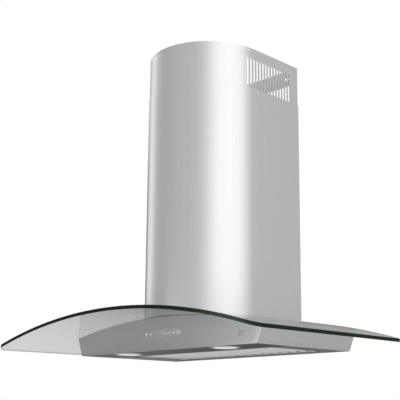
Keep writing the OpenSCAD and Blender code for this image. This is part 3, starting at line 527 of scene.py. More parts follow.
# %% [markdown]
# ## The chimney covers
# Each cover is one sheet of 0.8 mm steel, bent round a half-circle front, with two return flanges
# at its open back. Its plan is a path, and its edge is a small profile, so the sheet is the
# profile carried along the path. The lower cover stands on the arched glass, so its lower
# edge takes its height from the arch. The upper cover telescopes inside it and has a hem.

# %% The arch and the covers' plan
glass_low, glass_high = measure("glass_canopy")
GLASS_W, GLASS_D, CROWN = glass_high[0] * 2, -glass_low[1], glass_high[2]
GLASS_T, RISE, SHEET = 8.0, 66.0, 0.8
ARCH_R = ((GLASS_W / 2) ** 2 + RISE ** 2) / (2 * RISE)
FLANGE, BEND, BEND_STEPS = 20.0, 1.2, 6


def arch(x, drop=0.0):
    """Height of the arch at x: a circle of radius ARCH_R - drop whose crown is at CROWN - drop."""
    return np.sqrt((ARCH_R - drop) ** 2 - np.square(x)) + CROWN - ARCH_R


def mirrored_plan(half):
    """Half of a plan and its mirror image across X = 0, with the middle point once."""
    half = np.stack(half, -1)
    return np.concatenate([half, half[-2::-1] * (-1, 1)])


def cover_plan(r, side, rear, stations):
    """Points and outward normals of a cover's plan, from one rear flange round to the other.

    A flange along the wall, a quarter circle of the bend's radius, a flat side through the
    stations (their distances from the wall), and a half circle of radius r round (0, -side)."""
    turn = np.radians(np.linspace(90, 180, BEND_STEPS))
    flat_y = stations[stations < side]
    early = np.arcsin((stations[stations >= side] - side) / r)
    rest = np.linspace(early[-1] if len(early) else 0.0, pi / 2, 34)
    front = np.concatenate([early[:-1], rest])
    ones = np.ones(len(flat_y))
    x = np.concatenate([[-r + FLANGE], -r + BEND + BEND * np.cos(turn), -r * ones,
                        -r * np.cos(front)])
    y = np.concatenate([[-rear], -rear - BEND + BEND * np.sin(turn), -flat_y,
                        -side - r * np.sin(front)])
    nx = np.concatenate([[0.0], np.cos(turn), -ones, -np.cos(front)])
    ny = np.concatenate([[1.0], np.sin(turn), 0 * ones, -np.sin(front)])
    return mirrored_plan((x, y)), mirrored_plan((nx, ny))


def carried(plan, out, profile, low, high, dropped=None):
    """A closed profile carried along a plan.

    Point = plan + out * d, at height low * (1 - t) + high * t + rise, for rows (d, t, rise)."""
    d, t, rise = np.asarray(profile, float).T
    xy = plan[:, None] + out[:, None] * d[None, :, None]
    z = low[:, None] * (1 - t) + high * t + rise
    points = np.concatenate([xy, z[..., None]], -1).reshape(-1, 3)
    faces = quads(len(plan), len(profile), wrap=True)
    if dropped is not None:
        faces = faces[~dropped.reshape(-1)]
    last = len(points) - len(profile)
    ends = [list(range(len(profile)))[::-1], list(range(last, len(points)))]
    return points, [list(face) for face in faces] + ends


# %% Lower chimney cover
low, high = measure("lower_chimney_cover")
r, top = high[0], high[2]
side = -low[1] - r
plan, out = cover_plan(r, side, 0.0, np.linspace(4, side - 0.5, 8))
edge = [(-0.25, 0, 0), (0, 0, 0.25), (0, 1, -0.3), (-0.3, 1, 0), (-0.5, 1, 0), (-SHEET, 1, -0.3),
        (-SHEET, 0, 0.25), (-0.55, 0, 0)]
foot = arch(plan[:, 0], -0.3)
piece("lower_cover_sheet", carried(plan, out, edge, foot, top), "lower_chimney_cover")
print("lower cover: radius", r, "side", side, "top", top, "lowest foot", foot.min().round(2))

# %% [markdown]
# ## The upper cover's vent slots
# Fifteen slots with rounded ends are punched in each side. A Boolean would cut them, but it leaves
# long thin triangles that catch the light. Here the wall round a slot is a cell: the cell's own
# corners belong to the sheet's grid, and a ring of faces joins them to the slot's outline.
# The outline on the inner face and a band of faces between the two make the thickness.

# %% Upper chimney cover
low, high = measure("upper_chimney_cover")
r, top, bottom = high[0], high[2], low[2]
side, rear = -low[1] - r, -high[1]
VENTS, PITCH, FIRST, SLOT_W = 15, 11.35, 39.0, 5.5
SLOT_LOW, SLOT_HIGH, BAND_LOW, BAND_HIGH, HEM = 662.0, 740.0, 656.0, 746.0, top - 11.0
stations = np.append([rear + 3, 18.0], FIRST + PITCH * (np.arange(2 * VENTS + 1) / 2 - 0.5))
plan, out = cover_plan(r, side, rear, stations)
rows = [(-0.25, bottom), (0, bottom + 0.25), (0, BAND_LOW), (0, BAND_HIGH), (0, HEM - 0.5),
        (-0.10, HEM), (0, HEM + 0.5), (0, top - 0.4), (-0.4, top), (-1.2, top), (-1.6, top - 0.4),
        (-1.6, HEM + 0.2), (-SHEET, HEM), (-SHEET, BAND_HIGH), (-SHEET, BAND_LOW),
        (-SHEET, bottom + 0.25), (-0.55, bottom)]
OUTER_BAND, INNER_BAND = 2, 13
FIRST_CELL = 1 + BEND_STEPS + 2  # after the flange's end, the bend and two stations
cells = FIRST_CELL + 2 * np.arange(VENTS)
mirrored = len(plan) - 1 - cells - 2
dropped = np.zeros((len(plan) - 1, len(rows)), bool)
for start in (cells, cells + 1, mirrored, mirrored + 1):
    dropped[start, OUTER_BAND] = dropped[start, INNER_BAND] = True
profile = [(d, 1.0, z - top) for d, z in rows]
sheet = carried(plan, out, profile, np.full(len(plan), bottom), top, dropped)

HALF = 6
angle = np.append(np.linspace(pi, 2 * pi, HALF + 1), np.linspace(0, pi, HALF + 1))
ring = len(angle)
slot_side = np.cos(angle) * SLOT_W / 2
slot_z = np.sin(angle) * SLOT_W / 2 + np.repeat(
    [SLOT_LOW + SLOT_W / 2, SLOT_HIGH - SLOT_W / 2], HALF + 1)


def side_x(distance, inset):
    """Half width of the cover at a distance from the wall, less an inset of its face."""
    past = np.clip(distance - side, 0, None)
    return np.sqrt((r - inset) ** 2 - np.square(past))


def cell_faces(corners, outline):
    """Faces between a cell's six corners and a slot's outline, the lower half first."""
    faces = []
    for half in (0, 1):
        a, b, c, after = (corners[(3 * half + k) % 6] for k in range(4))
        arc = outline[half * (HALF + 1):(half + 1) * (HALF + 1)]
        faces += [(a if k < HALF // 2 else c, arc[k + 1], arc[k]) for k in range(HALF)]
        faces += [(a, b, arc[HALF // 2]), (b, c, arc[HALF // 2])]
        faces.append((c, after, outline[(half + 1) * (HALF + 1) % ring], arc[-1]))
    return faces


slot_points, slot_faces, start = [], [], len(sheet[0])
for starts, mirror in ((cells, -1), (mirrored, 1)):
    for n, cell in enumerate(starts):
        distance = FIRST + PITCH * n - slot_side * mirror
        for inset in (0.0, SHEET):
            x = mirror * side_x(distance, inset)
            slot_points.append(np.stack([x, -distance, slot_z], -1))
        for a, b, offset in ((OUTER_BAND, OUTER_BAND + 1, 0), (INNER_BAND + 1, INNER_BAND, ring)):
            corners = [(cell + k) * len(rows) + a for k in (0, 1, 2)]
            corners += [(cell + k) * len(rows) + b for k in (2, 1, 0)]
            slot_faces += cell_faces(corners, range(start + offset, start + offset + ring))
        slot_faces += (quads(2, ring, wrap=True) + start).tolist()
        start += 2 * ring
shape = (np.concatenate([sheet[0]] + slot_points), sheet[1] + slot_faces)
upper_cover = piece("upper_cover_sheet", shape, "upper_chimney_cover")
print("upper cover:", len(upper_cover.data.polygons), "faces,", 2 * VENTS, "slots")

# %% [markdown]
# ## The glass canopy
# One sheet of 8 mm glass, bent to an arch about the Y axis, with two rounded front corners, a
# cut-out for the blower box and a polished edge. Its two faces are the same grid at two
# radii of the arch. A bright line runs along the real edge where the grinder broke the corner, so
# the band between the faces has a small arris at each side.

# %% Glass grid
CORNER, ARRIS = 25.0, 0.7
CUT_HALF, CUT_REAR, CUT_FRONT = 128.0, 12.0, 268.0


def glass_grid(inset):
    """Plan of the sheet: columns at x, and rows that run from the rear edge to the front edge.

    The front edge is straight and then a quarter circle of the corner's radius less the inset."""
    half_w, depth, corner = GLASS_W / 2 - inset, GLASS_D - inset, CORNER - inset
    wing = np.linspace(CUT_HALF, half_w - corner, 18)
    turn = np.linspace(0, pi / 2, 10)[1:]
    outer = np.append(wing, half_w - corner + corner * np.sin(turn))
    x = np.concatenate([-outer[::-1], np.linspace(-CUT_HALF, CUT_HALF, 16)[1:-1], outer])
    bend = depth - corner + corner * np.cos(turn)
    front = np.full(len(x), depth)
    front[:len(turn)], front[-len(turn):] = bend[::-1], bend
    beside_cut = np.linspace(CUT_REAR, CUT_FRONT, 6)
    rows = np.concatenate([[inset], beside_cut, np.linspace(CUT_FRONT, GLASS_D, 8)[1:]])
    y = rows[:, None] * np.minimum(1.0, front / depth)
    square = 1 + len(beside_cut)
    y[:square], y[-1] = rows[:square, None], front
    return np.broadcast_to(x, y.shape), -y


def glass_layer(inset, drop):
    x, y = glass_grid(inset)
    return np.stack([x, y, arch(x, drop)], -1)


def faces_round(window, x, v):
    """Faces of a grid, without those whose middles lie inside a window (x0, x1, v0, v1)."""
    across, up = (x[:-1, :-1] + x[:-1, 1:]) / 2, (v[:-1, :-1] + v[1:, :-1]) / 2
    inside = (across > window[0]) & (across < window[1]) & (up > window[2]) & (up < window[3])
    return quads(*x.shape)[~inside.reshape(-1)]


# %% Glass sheet
layers = [glass_layer(*pair) for pair in (
    (ARRIS, 0.0), (0.0, ARRIS), (0.0, GLASS_T - ARRIS), (ARRIS, GLASS_T))]
n_rows, n_columns = layers[0].shape[:2]
count = n_rows * n_columns
x, y = glass_grid(ARRIS)
surface = faces_round((-CUT_HALF, CUT_HALF, -CUT_FRONT, -CUT_REAR), x, y)
index = np.arange(count).reshape(n_rows, n_columns)


def loop_round(back, front, left, right):
    """Points round a rectangle of the grid, once."""
    return np.concatenate([index[back, left:right], index[back:front, right],
                           index[front, right:left:-1], index[front:back:-1, left]])


def band(loop, upper, lower):
    """Faces along a loop, between an upper and a lower layer."""
    after = np.roll(loop, -1)
    return np.stack([loop + upper * count, after + upper * count,
                     after + lower * count, loop + lower * count], -1)


left, right = (np.flatnonzero(np.isclose(x[0], s * CUT_HALF))[0] for s in (-1, 1))
cut_row = np.flatnonzero(np.isclose(y[:, n_columns // 2], -CUT_FRONT))[0]
rim = loop_round(0, n_rows - 1, 0, n_columns - 1)
hole = loop_round(1, cut_row, left, right)
faces = np.concatenate([surface, surface[:, ::-1] + 3 * count,
                        band(rim, 0, 1), band(rim, 1, 2), band(rim, 2, 3), band(hole, 0, 3)])
canopy = piece("canopy_sheet", (np.concatenate([layer.reshape(-1, 3) for layer in layers]), faces),
               "glass_canopy", sharp=20,
               materials=[FINISH["canopy_glass"], edge_glass, FINISH["wall_edge"]])
normals = np.zeros(len(canopy.data.polygons) * 3)
canopy.data.polygons.foreach_get("normal", normals)
normals = normals.reshape(-1, 3)
on_edge, at_wall = np.abs(normals[:, 2]) < 0.9, normals[:, 1] > 0.5
kinds = np.where(on_edge, np.where(at_wall, 2, 1), 0).astype(np.int32)
canopy.data.polygons.foreach_set("material_index", kinds)
print("canopy:", len(canopy.data.polygons), "faces,", int(on_edge.sum()), "on the edge")

# %% [markdown]
# ## The body's front and sides
# The fascia is a folded sheet: its two ends turn round a small radius into the leaning sides, and
# that radius is the pale line at the corner. It is a grid of upright columns and level rows. Near
# the controls the lines are square, so that the opening can be left out of the grid; further
# out the columns lean more and more, and the top row follows the arch.

# %% Fascia
strip_low, strip_high = measure("control_panel")
FRONT, HALF_FOOT, FOLD, STRAIGHT = -measure("front_fascia")[0][1], 307.0, 2.2, 80.0
LEAN = 18.0 / 46.0
TOP_GAP, LIP = GLASS_T + 0.5, 1.2
OPENING = (strip_low[0] + LIP, strip_high[0] - LIP, strip_low[2] + LIP, strip_high[2] - LIP)


def leaned_top(x, lean):
    """Height where a line from x at the foot, leaning by so much a millimetre, meets the arch."""
    z = arch(x, TOP_GAP)
    for _ in range(6):
        z = arch(x + lean * z, TOP_GAP)
    return z


def thicken(made, thickness, radius=0.15):
    """A wall of so many millimetres, inwards from the outer face, with its cut edges rounded."""
    solid = made.modifiers.new("wall", "SOLIDIFY")
    solid.thickness, solid.offset = thickness * MM, -1.0
    return soften(made, radius, 50)


fold = np.radians(np.linspace(0, 90, 7))[1:]
flat_end = HALF_FOOT - FOLD
end_x = np.append(flat_end + FOLD * np.sin(fold), HALF_FOOT)
end_y = np.append(FOLD - FOLD * np.cos(fold), FOLD + 2.0)
end_n = np.append(np.sin(fold), 1.0)
even = np.linspace(0, flat_end, 24)[1:]
flat_x = np.unique(np.concatenate([even, -even, [0.0, OPENING[0], OPENING[1]]]))
flat_y = np.zeros(len(flat_x))
x0 = np.concatenate([-end_x[::-1], flat_x, end_x])
y0 = np.concatenate([end_y[::-1], flat_y, end_y])
nx = np.concatenate([-end_n[::-1], flat_y, end_n])
ny = -np.sqrt(1 - nx ** 2)
lean = np.sign(x0) * LEAN * fade(np.abs(x0), STRAIGHT, flat_end)
z_top = leaned_top(x0, lean)
levels = np.array([0.0, 0.0, 0.2, 0.75, 10.0, 20.0, OPENING[2], OPENING[3], 60.0])
tucked = np.array([0.75, 0.35, 0.1] + 7 * [0.0])[:, None]
z = levels[:, None] * np.minimum(1.0, z_top / arch(STRAIGHT, TOP_GAP))
z = np.concatenate([z, z_top[None]])
x, y = x0 + lean * z - nx * tucked, y0 - FRONT - ny * tucked
faces = faces_round(OPENING, x, z)
fascia = piece("fascia_sheet", (np.stack([x, y, z], -1).reshape(-1, 3), faces), "front_fascia",
               repair=False)
thicken(fascia, SHEET)
print("fascia:", len(faces), "faces, top", z_top.max().round(2), "corner", z_top[0].round(2))

# %% Side panels
depth = np.linspace(FRONT - FOLD - 2.3, SHEET, 12)
z_end = leaned_top(HALF_FOOT, LEAN)
z = np.array([0.0, 0.3, 12.0, 24.0, 36.0, z_end])[:, None] * np.ones(len(depth))
for sign, name in ((-1, "left"), (1, "right")):
    x = sign * (HALF_FOOT + LEAN * z)
    x[0] -= sign * 0.3
    points = np.stack([x, -depth * np.ones_like(z), z], -1).reshape(-1, 3)
    faces = quads(*z.shape)[:, ::sign]
    thicken(piece(f"side_sheet_{name}", (points, faces), f"side_panel_{name}",
                  materials=[FINISH["sides"]], repair=False), SHEET)
print("side panels: top at", round(float(z_end), 2))

# %% [markdown]
# ## Turned and moulded small pieces
# A lens, a bezel or a screw is a profile turned about an axis. A key or a plate is a rounded
# outline that is stacked: the same outline at several depths, each drawn in a little more. Both
# are the same idea, rings of points joined by faces, with a face to close each end.


# %% Rings and stacks
def ringed(rings, closed=True):
    """Rings of points, (rings, points, 3), joined by faces and closed at the two ends."""
    rings = np.asarray(rings, float)
    levels, count = rings.shape[:2]
    faces = [list(face) for face in quads(levels, count, wrap=True)]
    if closed:
        faces += [list(range(count))[::-1], list(range((levels - 1) * count, levels * count))]
    return rings.reshape(-1, 3), faces


def turned(profile, centre=(0.0, 0.0, 0.0), axis="z", count=96, closed=True):
    """A profile of (radius, height) turned about an axis through the centre."""
    radius, height = np.asarray(profile, float).T
    angle = np.linspace(0, 2 * pi, count, endpoint=False)
    a, b = radius[:, None] * np.cos(angle), radius[:, None] * np.sin(angle)
    h = height[:, None] * np.ones(count)
    order = {"z": (a, b, h), "x": (h, a, b), "y": (b, h, a)}[axis]
    return ringed(np.stack(order, -1) + np.asarray(centre, float), closed)


def hoop(profile, centre, axis="z", count=96):
    """A closed profile turned about an axis, so that it leaves a hole in the middle."""
    return turned(profile + profile[:1], centre, axis, count, closed=False)


def stacked(x, z, width, height, corner, levels):
    """A rounded rectangle in X and Z, at depths y, each drawn in by an inset: rows (inset, y)."""
    angle = np.radians(np.concatenate([np.linspace(q, q + 90, 7) for q in (0, 90, 180, 270)]))
    sx, sz = np.repeat([1, -1, -1, 1], 7), np.repeat([1, 1, -1, -1], 7)
    rings = []
    for inset, y in levels:
        r = max(corner - inset, 0.05)
        rings.append(np.stack([x + sx * (width / 2 - inset - r) + r * np.cos(angle),
                               np.full(len(angle), y),
                               z + sz * (height / 2 - inset - r) + r * np.sin(angle)], -1))
    return ringed(rings)


# %% Lamps
LENS_R, RIPPLE = 33.0, 2.28
lamp_low, lamp_high = measure("lamp_lenses")
lamps = [(s * (lamp_high[0] - LENS_R), (lamp_low[1] + lamp_high[1]) / 2, 0.0) for s in (-1, 1)]
radius = np.linspace(LENS_R - 4.8, 0.3, 50)
face = 0.05 - 0.30 * (1 - (radius / LENS_R) ** 2) - 0.07 * np.cos(2 * pi * radius / RIPPLE)
lens = [(LENS_R, 1.8), (LENS_R, -0.5), (LENS_R - 0.3, -0.6), (LENS_R - 4.5, -0.6)]
lens += list(zip(radius, face))
bezel = [(33.2, 12.0), (33.2, -0.75), (29.2, -0.95), (28.9, -1.08), (29.2, -1.2), (35.3, -1.2),
         (36.0, -1.0), (36.4, -0.55), (36.5, 0.0), (34.4, 0.0), (34.4, 12.0)]
lenses = joined(*[turned(lens, c, count=72) for c in lamps])
piece("lamp_lens_pair", lenses, "lamp_lenses", sharp=50)
piece("lamp_bezel_pair", joined(*[hoop(bezel, c) for c in lamps]), "lamp_bezels")
print("lamps at", lamps)

# %% Keys, windows and the plate
STRIP_Z, KEY_W, KEY_H, WINDOW_CORNER = 40.0, 11.0, 10.0, 0.8
KEYS = ("key_light", "key_slower", "key_faster", "key_power")
for node in KEYS:
    low, high = measure(node)
    x, y = (low[0] + high[0]) / 2, low[1]
    cap = stacked(x, STRIP_Z, KEY_W, KEY_H, 1.2, [
        (0, y + 3.1), (0, y + 0.45), (0.12, y + 0.18), (0.4, y + 0.03), (0.7, y)])
    lip = stacked(x, STRIP_Z, KEY_W + 1.6, KEY_H + 0.8, 1.5, [
        (0.2, y + 2.6), (0.0, y + 2.8), (0.0, y + 3.4), (0.2, y + 3.6)])
    stem = stacked(x, STRIP_Z, 4.0, 4.0, 0.5, [(0, y + 2.3), (0, high[1] - 0.3), (0.3, high[1])])
    piece(node + "_cap", joined(cap, lip, stem), node)
for node in ("display_window", "receiver_window", "name_plate"):
    low, high = measure(node)
    (x, _, z), (width, _, tall) = (low + high) / 2, high - low
    shape = stacked(x, z, width, tall, WINDOW_CORNER, [
        (0, high[1]), (0, low[1] + 0.25), (0.1, low[1] + 0.08), (0.3, low[1])])
    own = [FINISH["strip"]] if node == "name_plate" else None
    piece(node + "_face", shape, node, materials=own)
print("keys and windows in the strip from", strip_low.round(1), "to", strip_high.round(1))

# %% [markdown]
# ## The marks on the keys
# White marks are printed on the keys: a lamp, a dot, a slanted stroke and a larger dot. They are
# thin raised shapes, because a printed mark stands a few hundredths of a millimetre proud, and a
# shape keeps its outline at any distance.


# %% Printed marks
def mark(outline, y, thick=0.04):
    """A flat closed outline in X and Z as a thin raised print."""
    rings = [np.insert(np.asarray(outline, float), 1, depth, axis=1) for depth in (y, y - thick)]
    return ringed(rings)


def disc(x, z, radius, count=24):
    angle = np.linspace(0, 2 * pi, count, endpoint=False)
    return np.stack([x + radius * np.cos(angle), z + radius * np.sin(angle)], -1)


def bar(x, z, length, width, tilt=0.0):
    a, b = np.array([(-length, -width), (length, -width), (length, width), (-length, width)]).T / 2
    c, s = cos(radians(tilt)), sin(radians(tilt))
    return np.stack([x + a * c - b * s, z + a * s + b * c], -1)


marks = {
    "key_light": lambda x, z: [disc(x, z + 0.6, 2.3), bar(x, z - 2.4, 2.4, 1.0),
                               bar(x, z - 3.7, 1.8, 0.7)],
    "key_slower": lambda x, z: [disc(x, z, 2.4)],
    "key_faster": lambda x, z: [bar(x, z, 6.0, 1.6, 50)],
    "key_power": lambda x, z: [disc(x, z, 2.6)]}
for node in KEYS:
    low, high = measure(node)
    outlines = marks[node]((low[0] + high[0]) / 2, STRIP_Z)
    piece(node + "_mark", joined(*[mark(o, low[1] + 0.01) for o in outlines]), body=BODY[node],
          slot="white_plastic", materials=[FINISH["print"]])
print("marks:", len(marks))

# %% [markdown]
# ## The filter
# A baffle filter is two rows of folded strips that overlap like roof tiles, held in a channel
# frame. Grease hits the upper strips and runs down into the lower ones. Each strip is a bent
# line with a thickness: the corners of the line are replaced by short curves, because sheet can't
# be folded to a knife edge.


# %% Baffles
def bent(corners, radius, steps=5):
    """A line through corners, each inner one replaced by a curve that leaves it a radius before."""
    p = np.asarray(corners, float)
    a, b = p[1:-1] - p[:-2], p[2:] - p[1:-1]
    a, b = a / np.linalg.norm(a, axis=1)[:, None], b / np.linalg.norm(b, axis=1)[:, None]
    u = np.linspace(0, 1, steps)[None, :, None]
    start, middle, end = (v[:, None] for v in (p[1:-1] - a * radius, p[1:-1], p[1:-1] + b * radius))
    curve = (1 - u) ** 2 * start + 2 * u * (1 - u) * middle + u ** 2 * end
    return np.concatenate([p[:1], curve.reshape(-1, 2), p[-1:]])


def strip(line, thickness, y0, y1):
    """A bent line in X and Z with a thickness, drawn out from y0 to y1."""
    along = np.gradient(line, axis=0)
    along /= np.linalg.norm(along, axis=1)[:, None]
    square = np.stack([-along[:, 1], along[:, 0]], -1) * thickness / 2
    loop = np.concatenate([line + square, (line - square)[::-1]])
    points = np.concatenate([np.insert(loop, 1, y, axis=1) for y in (y0, y1)])
    n, m = len(loop), len(line)
    faces = [list(f) for f in quads(2, n, wrap=True)]
    for end in (0, n):
        faces += [[end + k, end + k + 1, end + n - 2 - k, end + n - 1 - k] for k in range(m - 1)]
    return points, faces


BAFFLE_T, WING, SIDE_GAP, BAFFLE_BEND = 0.6, 4.0, 0.3, 1.1
for node, half_flat, down, copies in (("filter_lower_baffles", 6.0, 1, 16),
                                      ("filter_upper_baffles", 4.5, -1, 15)):
    low, high = measure(node)
    edge_z = low[2] + BAFFLE_T / 2 if down > 0 else high[2] - BAFFLE_T / 2
    reach, rise = half_flat + WING - SIDE_GAP, (high[2] - low[2] - BAFFLE_T) * down
    line = bent([(-reach, rise), (-half_flat + 0.4, 0), (half_flat - 0.4, 0), (reach, rise)],
                BAFFLE_BEND)
    first = low[0] + half_flat + WING
    places = [(x, 0.0, edge_z) for x in np.linspace(first, -first, copies)]
    piece(node + "_folded", repeated(*strip(line, BAFFLE_T, low[1], high[1]), places), node)
    print(node, "strips:", copies, "first at", round(first, 2))


# %% Rivets and screws
def domes(places, radius, height, axis=(0, 0, -1), count=16):
    """Round heads, each a quarter circle turned about its axis."""
    t = np.linspace(0, pi / 2, 5)[:-1]
    profile = [(radius * cos(v), height * sin(v)) for v in t] + [(radius * 0.12, height)]
    points, faces = turned(profile, count=count)
    axis = np.asarray(axis, float)
    side_a = np.cross(axis, (1, 0, 0) if abs(axis[0]) < 0.9 else (0, 1, 0))
    side_a /= np.linalg.norm(side_a)
    turn = np.stack([side_a, np.cross(axis, side_a), axis])
    return repeated(points @ turn, faces, np.asarray(places, float))


RIVET_IN, SCREW_IN = 6.0, 6.0
low, high = measure("filter_frame")
corners = [(x, y, low[2] + 0.05) for x in (low[0] + RIVET_IN, high[0] - RIVET_IN)
           for y in (low[1] + RIVET_IN, high[1] - RIVET_IN)]
piece("filter_rivets", domes(corners, 2.2, 0.8), body="filter", slot="filter_steel",
      materials=[FINISH["bright_steel"]])
low, high = measure("junction_lid")
lid_screws = [(x, y, high[2] - 0.05) for x, y in (low[:2] + SCREW_IN, high[:2] - SCREW_IN)]
piece("junction_lid_screws", domes(lid_screws, 3.0, 1.6, (0, 0, 1)), slot="bright_steel")
print("rivets:", len(corners), "lid screws:", len(lid_screws))

# %% [markdown]
# ## The blower wheel
# Air enters the wheel at both ends and the blades throw it outwards. The wheel is pressed from
# thin sheet: a middle disc with a stiffening ring, an end ring with a rolled rim on each side, and
# thirty-six curved blades in each half. A blade is one bent strip, and the others are turned
# copies of it, so each needs only a few faces.


# %% Blower wheel
def spun(points, turns, centre, axis=0):
    """Copies of points turned about a line through the centre along an axis, in radians."""
    a, b = [k for k in range(3) if k != axis]
    local = np.asarray(points, float) - centre
    copies = np.repeat(local[None], len(turns), axis=0)
    c, s = np.cos(turns)[:, None], np.sin(turns)[:, None]
    copies[..., a] = local[:, a] * c - local[:, b] * s
    copies[..., b] = local[:, a] * s + local[:, b] * c
    return copies + centre


BLADES, BLADE_FROM, BLADE_TO, BLADE_T = 36, 64.0, 76.6, 0.6
low, high = measure("wheel_disc")
hub = np.array([0.0, (low[1] + high[1]) / 2, (low[2] + high[2]) / 2])
v = np.linspace(BLADE_FROM, BLADE_TO, 6)
share = (v - BLADE_FROM) / (BLADE_TO - BLADE_FROM) * 2 - 1
blade_line = np.stack([2.9 * share + 1.5 * (1 - share ** 2), v], -1)
turns = np.linspace(0, 2 * pi, BLADES, endpoint=False)
halves = []
for ends in ((1.0, 50.0), (-50.0, -1.0)):
    points, faces = strip(blade_line, BLADE_T, *ends)
    halves.append(repeated(points[:, [1, 0, 2]] + hub, faces, lambda p: spun(p, turns, hub)))
piece("wheel_blades_curved", joined(*halves), "wheel_blades")
rim = [(62.5, 50.6), (62.9, 50.1), (77.4, 50.0), (78.0, 50.4), (78.0, 51.6), (77.4, 52.0),
       (76.4, 52.0), (75.8, 51.4), (75.2, 51.0), (64.4, 51.0), (63.6, 51.6), (63.0, 52.0),
       (62.6, 51.8)]
rims = [hoop([(r, side * x) for r, x in rim], hub, "x") for side in (-1, 1)]
piece("wheel_rings_rolled", joined(*rims), "wheel_rings")
pressed = [(4.1, -3), (11.4, -3), (12, -2.6), (12, -1.5), (12.8, -1), (28, -1), (30, -1.8),
           (40, -1.8), (42, -1), (77.4, -1), (78, -0.6), (78, 0.6), (77.4, 1), (42, 1), (40, 0.2),
           (30, 0.2), (28, 1), (12.8, 1), (12, 1.5), (12, 11.6), (11.4, 12), (4.1, 12)]
set_screw = domes([hub + (7, -11.8, 0)], 2.4, 1.2, (0, -1, 0))
piece("wheel_disc_pressed", joined(hoop(pressed, hub, "x"), set_screw), "wheel_disc")
print("wheel: radius", round((high[2] - low[2]) / 2, 2), "blades", 2 * BLADES)

# %% [markdown]
# ## Motor, capacitor, gland and spring
# The motor's steel plates show as fine ribs between two end caps. A three-armed star carries it in
# the inlet. The capacitor is a can with a crimped rim and two flat terminals. The gland is a
# six-sided nut, a thread and a domed cap. All but the star are turned. The spring is a round wire
# along a helix, the same idea with a moving centre.


# %% Motor and its star
def block(low, high, edge=0.4):
    """A box between two corners with softened edges: a rounded rectangle stacked along Y."""
    (x0, y0, z0), (x1, y1, z1) = low, high
    return stacked((x0 + x1) / 2, (z0 + z1) / 2, x1 - x0, z1 - z0, 2 * edge,
                   [(edge, y0), (0, y0 + edge), (0, y1 - edge), (edge, y1)])


def round_hub(x, radius, angles):
    """Points at a radius round the hub's line, at angles from upright, at one x."""
    return np.stack([np.full(len(angles), x), hub[1] - radius * np.sin(angles),
                     hub[2] + radius * np.cos(angles)], -1)


plates = np.arange(-47.0, -24.5, 0.6)
ribs = [(42.0 if k % 4 < 2 else 41.4, x) for k, x in enumerate(plates)]
motor = [(4.2, -62), (36, -62), (39, -61), (41, -58.5), (41, -48)] + ribs + [
    (41, -24), (41, -12.5), (39, -9.5), (36, -8.2), (14, -8), (13, -7), (12, -5), (11.4, -4.5),
    (4.2, -4.5)]
piece("fan_motor_turned", turned(motor, hub, "x"), "fan_motor")

ARM_W, ARM_REACH, PLATE_R, BOLT_X = 14.0, 84.0, 29.4, -64.0
low, high = measure("motor_spider")
arm_turns = np.radians([90, 210, 330])
to_rim = np.arcsin(ARM_W / 2 / PLATE_R)
gap = np.linspace(to_rim, 2 * pi / 3 - to_rim, 16)
arm = np.concatenate([[(-ARM_W / 2, ARM_REACH), (ARM_W / 2, ARM_REACH)],
                      PLATE_R * np.stack([np.sin(gap), np.cos(gap)], -1)])
star = np.concatenate([arm @ [(cos(t), -sin(t)), (sin(t), cos(t))] for t in arm_turns])
flat = [np.stack([np.full(len(star), x), hub[1] - star[:, 0], hub[2] + star[:, 1]], -1)
        for x in (low[0], high[0])]
soften(piece("motor_spider_star", ringed(flat), "motor_spider"), 0.3)
bolts = np.concatenate([round_hub(BOLT_X, 77, arm_turns), round_hub(BOLT_X, 22, -turns[4:36:9])])
piece("motor_bolts", domes(bolts, 3.2, 2.0, (-1, 0, 0)), slot="bright_steel")
print("motor plates:", len(plates) // 4, "bolts:", len(bolts))


# %% Capacitor, gland and spring
def coil(start, radius, wire, length, turns, count=8):
    """A round wire along a helix about X: angle = 2 pi * turns * t, x = (length - wire) * t."""
    t = np.linspace(0, 1, int(turns * 24))[:, None]
    around = np.linspace(0, 2 * pi, count, endpoint=False)[None]
    reach, angle = radius - wire / 2 + wire / 2 * np.cos(around), 2 * pi * turns * t
    x = wire / 2 + (length - wire) * t + wire / 2 * np.sin(around)
    helix = np.stack([x, reach * np.cos(angle), reach * np.sin(angle)], -1)
    return ringed(helix + np.asarray(start, float))


def foot_of(node):
    """The middle of a node's lowest face, and its height."""
    low, high = measure(node)
    return np.array([(low[0] + high[0]) / 2, (low[1] + high[1]) / 2, low[2]]), high[2] - low[2]


foot, tall = foot_of("motor_capacitor")
can = [(14.4, 0), (15, 0.6), (15, 48), (14.1, 48.9), (14.1, 49.7), (15, 50.4), (15, 51.4),
       (14.4, 52), (11, 52), (10.4, 51.2)]
tags = [block(foot + (x - 2.4, -0.4, 50.5), foot + (x + 2.4, 0.4, tall), 0.1) for x in (-4.5, 4.5)]
piece("motor_capacitor_can", joined(turned(can, foot), *tags), "motor_capacitor")

foot, _ = foot_of("cable_gland")
thread = turned([(6.9 if k % 2 else 6.3, 0.5 * k) for k in range(16)], foot, count=48)
nut = turned([(8.4, 8), (10, 8.7), (10, 11.4), (8.6, 12)], foot, count=6)
cap = turned([(8.2, 12), (8.5, 12.5), (8.5, 17), (7.6, 19.2), (6.2, 20), (4.3, 20), (4.0, 19.4),
              (4.0, 12)], foot, count=48)
piece("cable_gland_nut", joined(thread, nut, cap), "cable_gland")

low, high = measure("filter_catch_spring")
start = (low[0], (low[1] + high[1]) / 2, (low[2] + high[2]) / 2)
spring = coil(start, 2.0, 0.4, high[0] - low[0], 1.6)
piece("filter_catch_coil", spring, "filter_catch_spring")
print("gland at", foot.round(1), "spring from", np.round(start, 1))

# %% [markdown]
# ## Boards, fins, beads and fasteners
# The control board has a processor with its legs, a relay, two capacitors and a plug socket on its
# rear. The lamps' housings carry cooling fins, the lamp driver has screw terminals, and the collar
# has the bead that keeps a hose clamp from slipping off. These are what one sees on looking in.

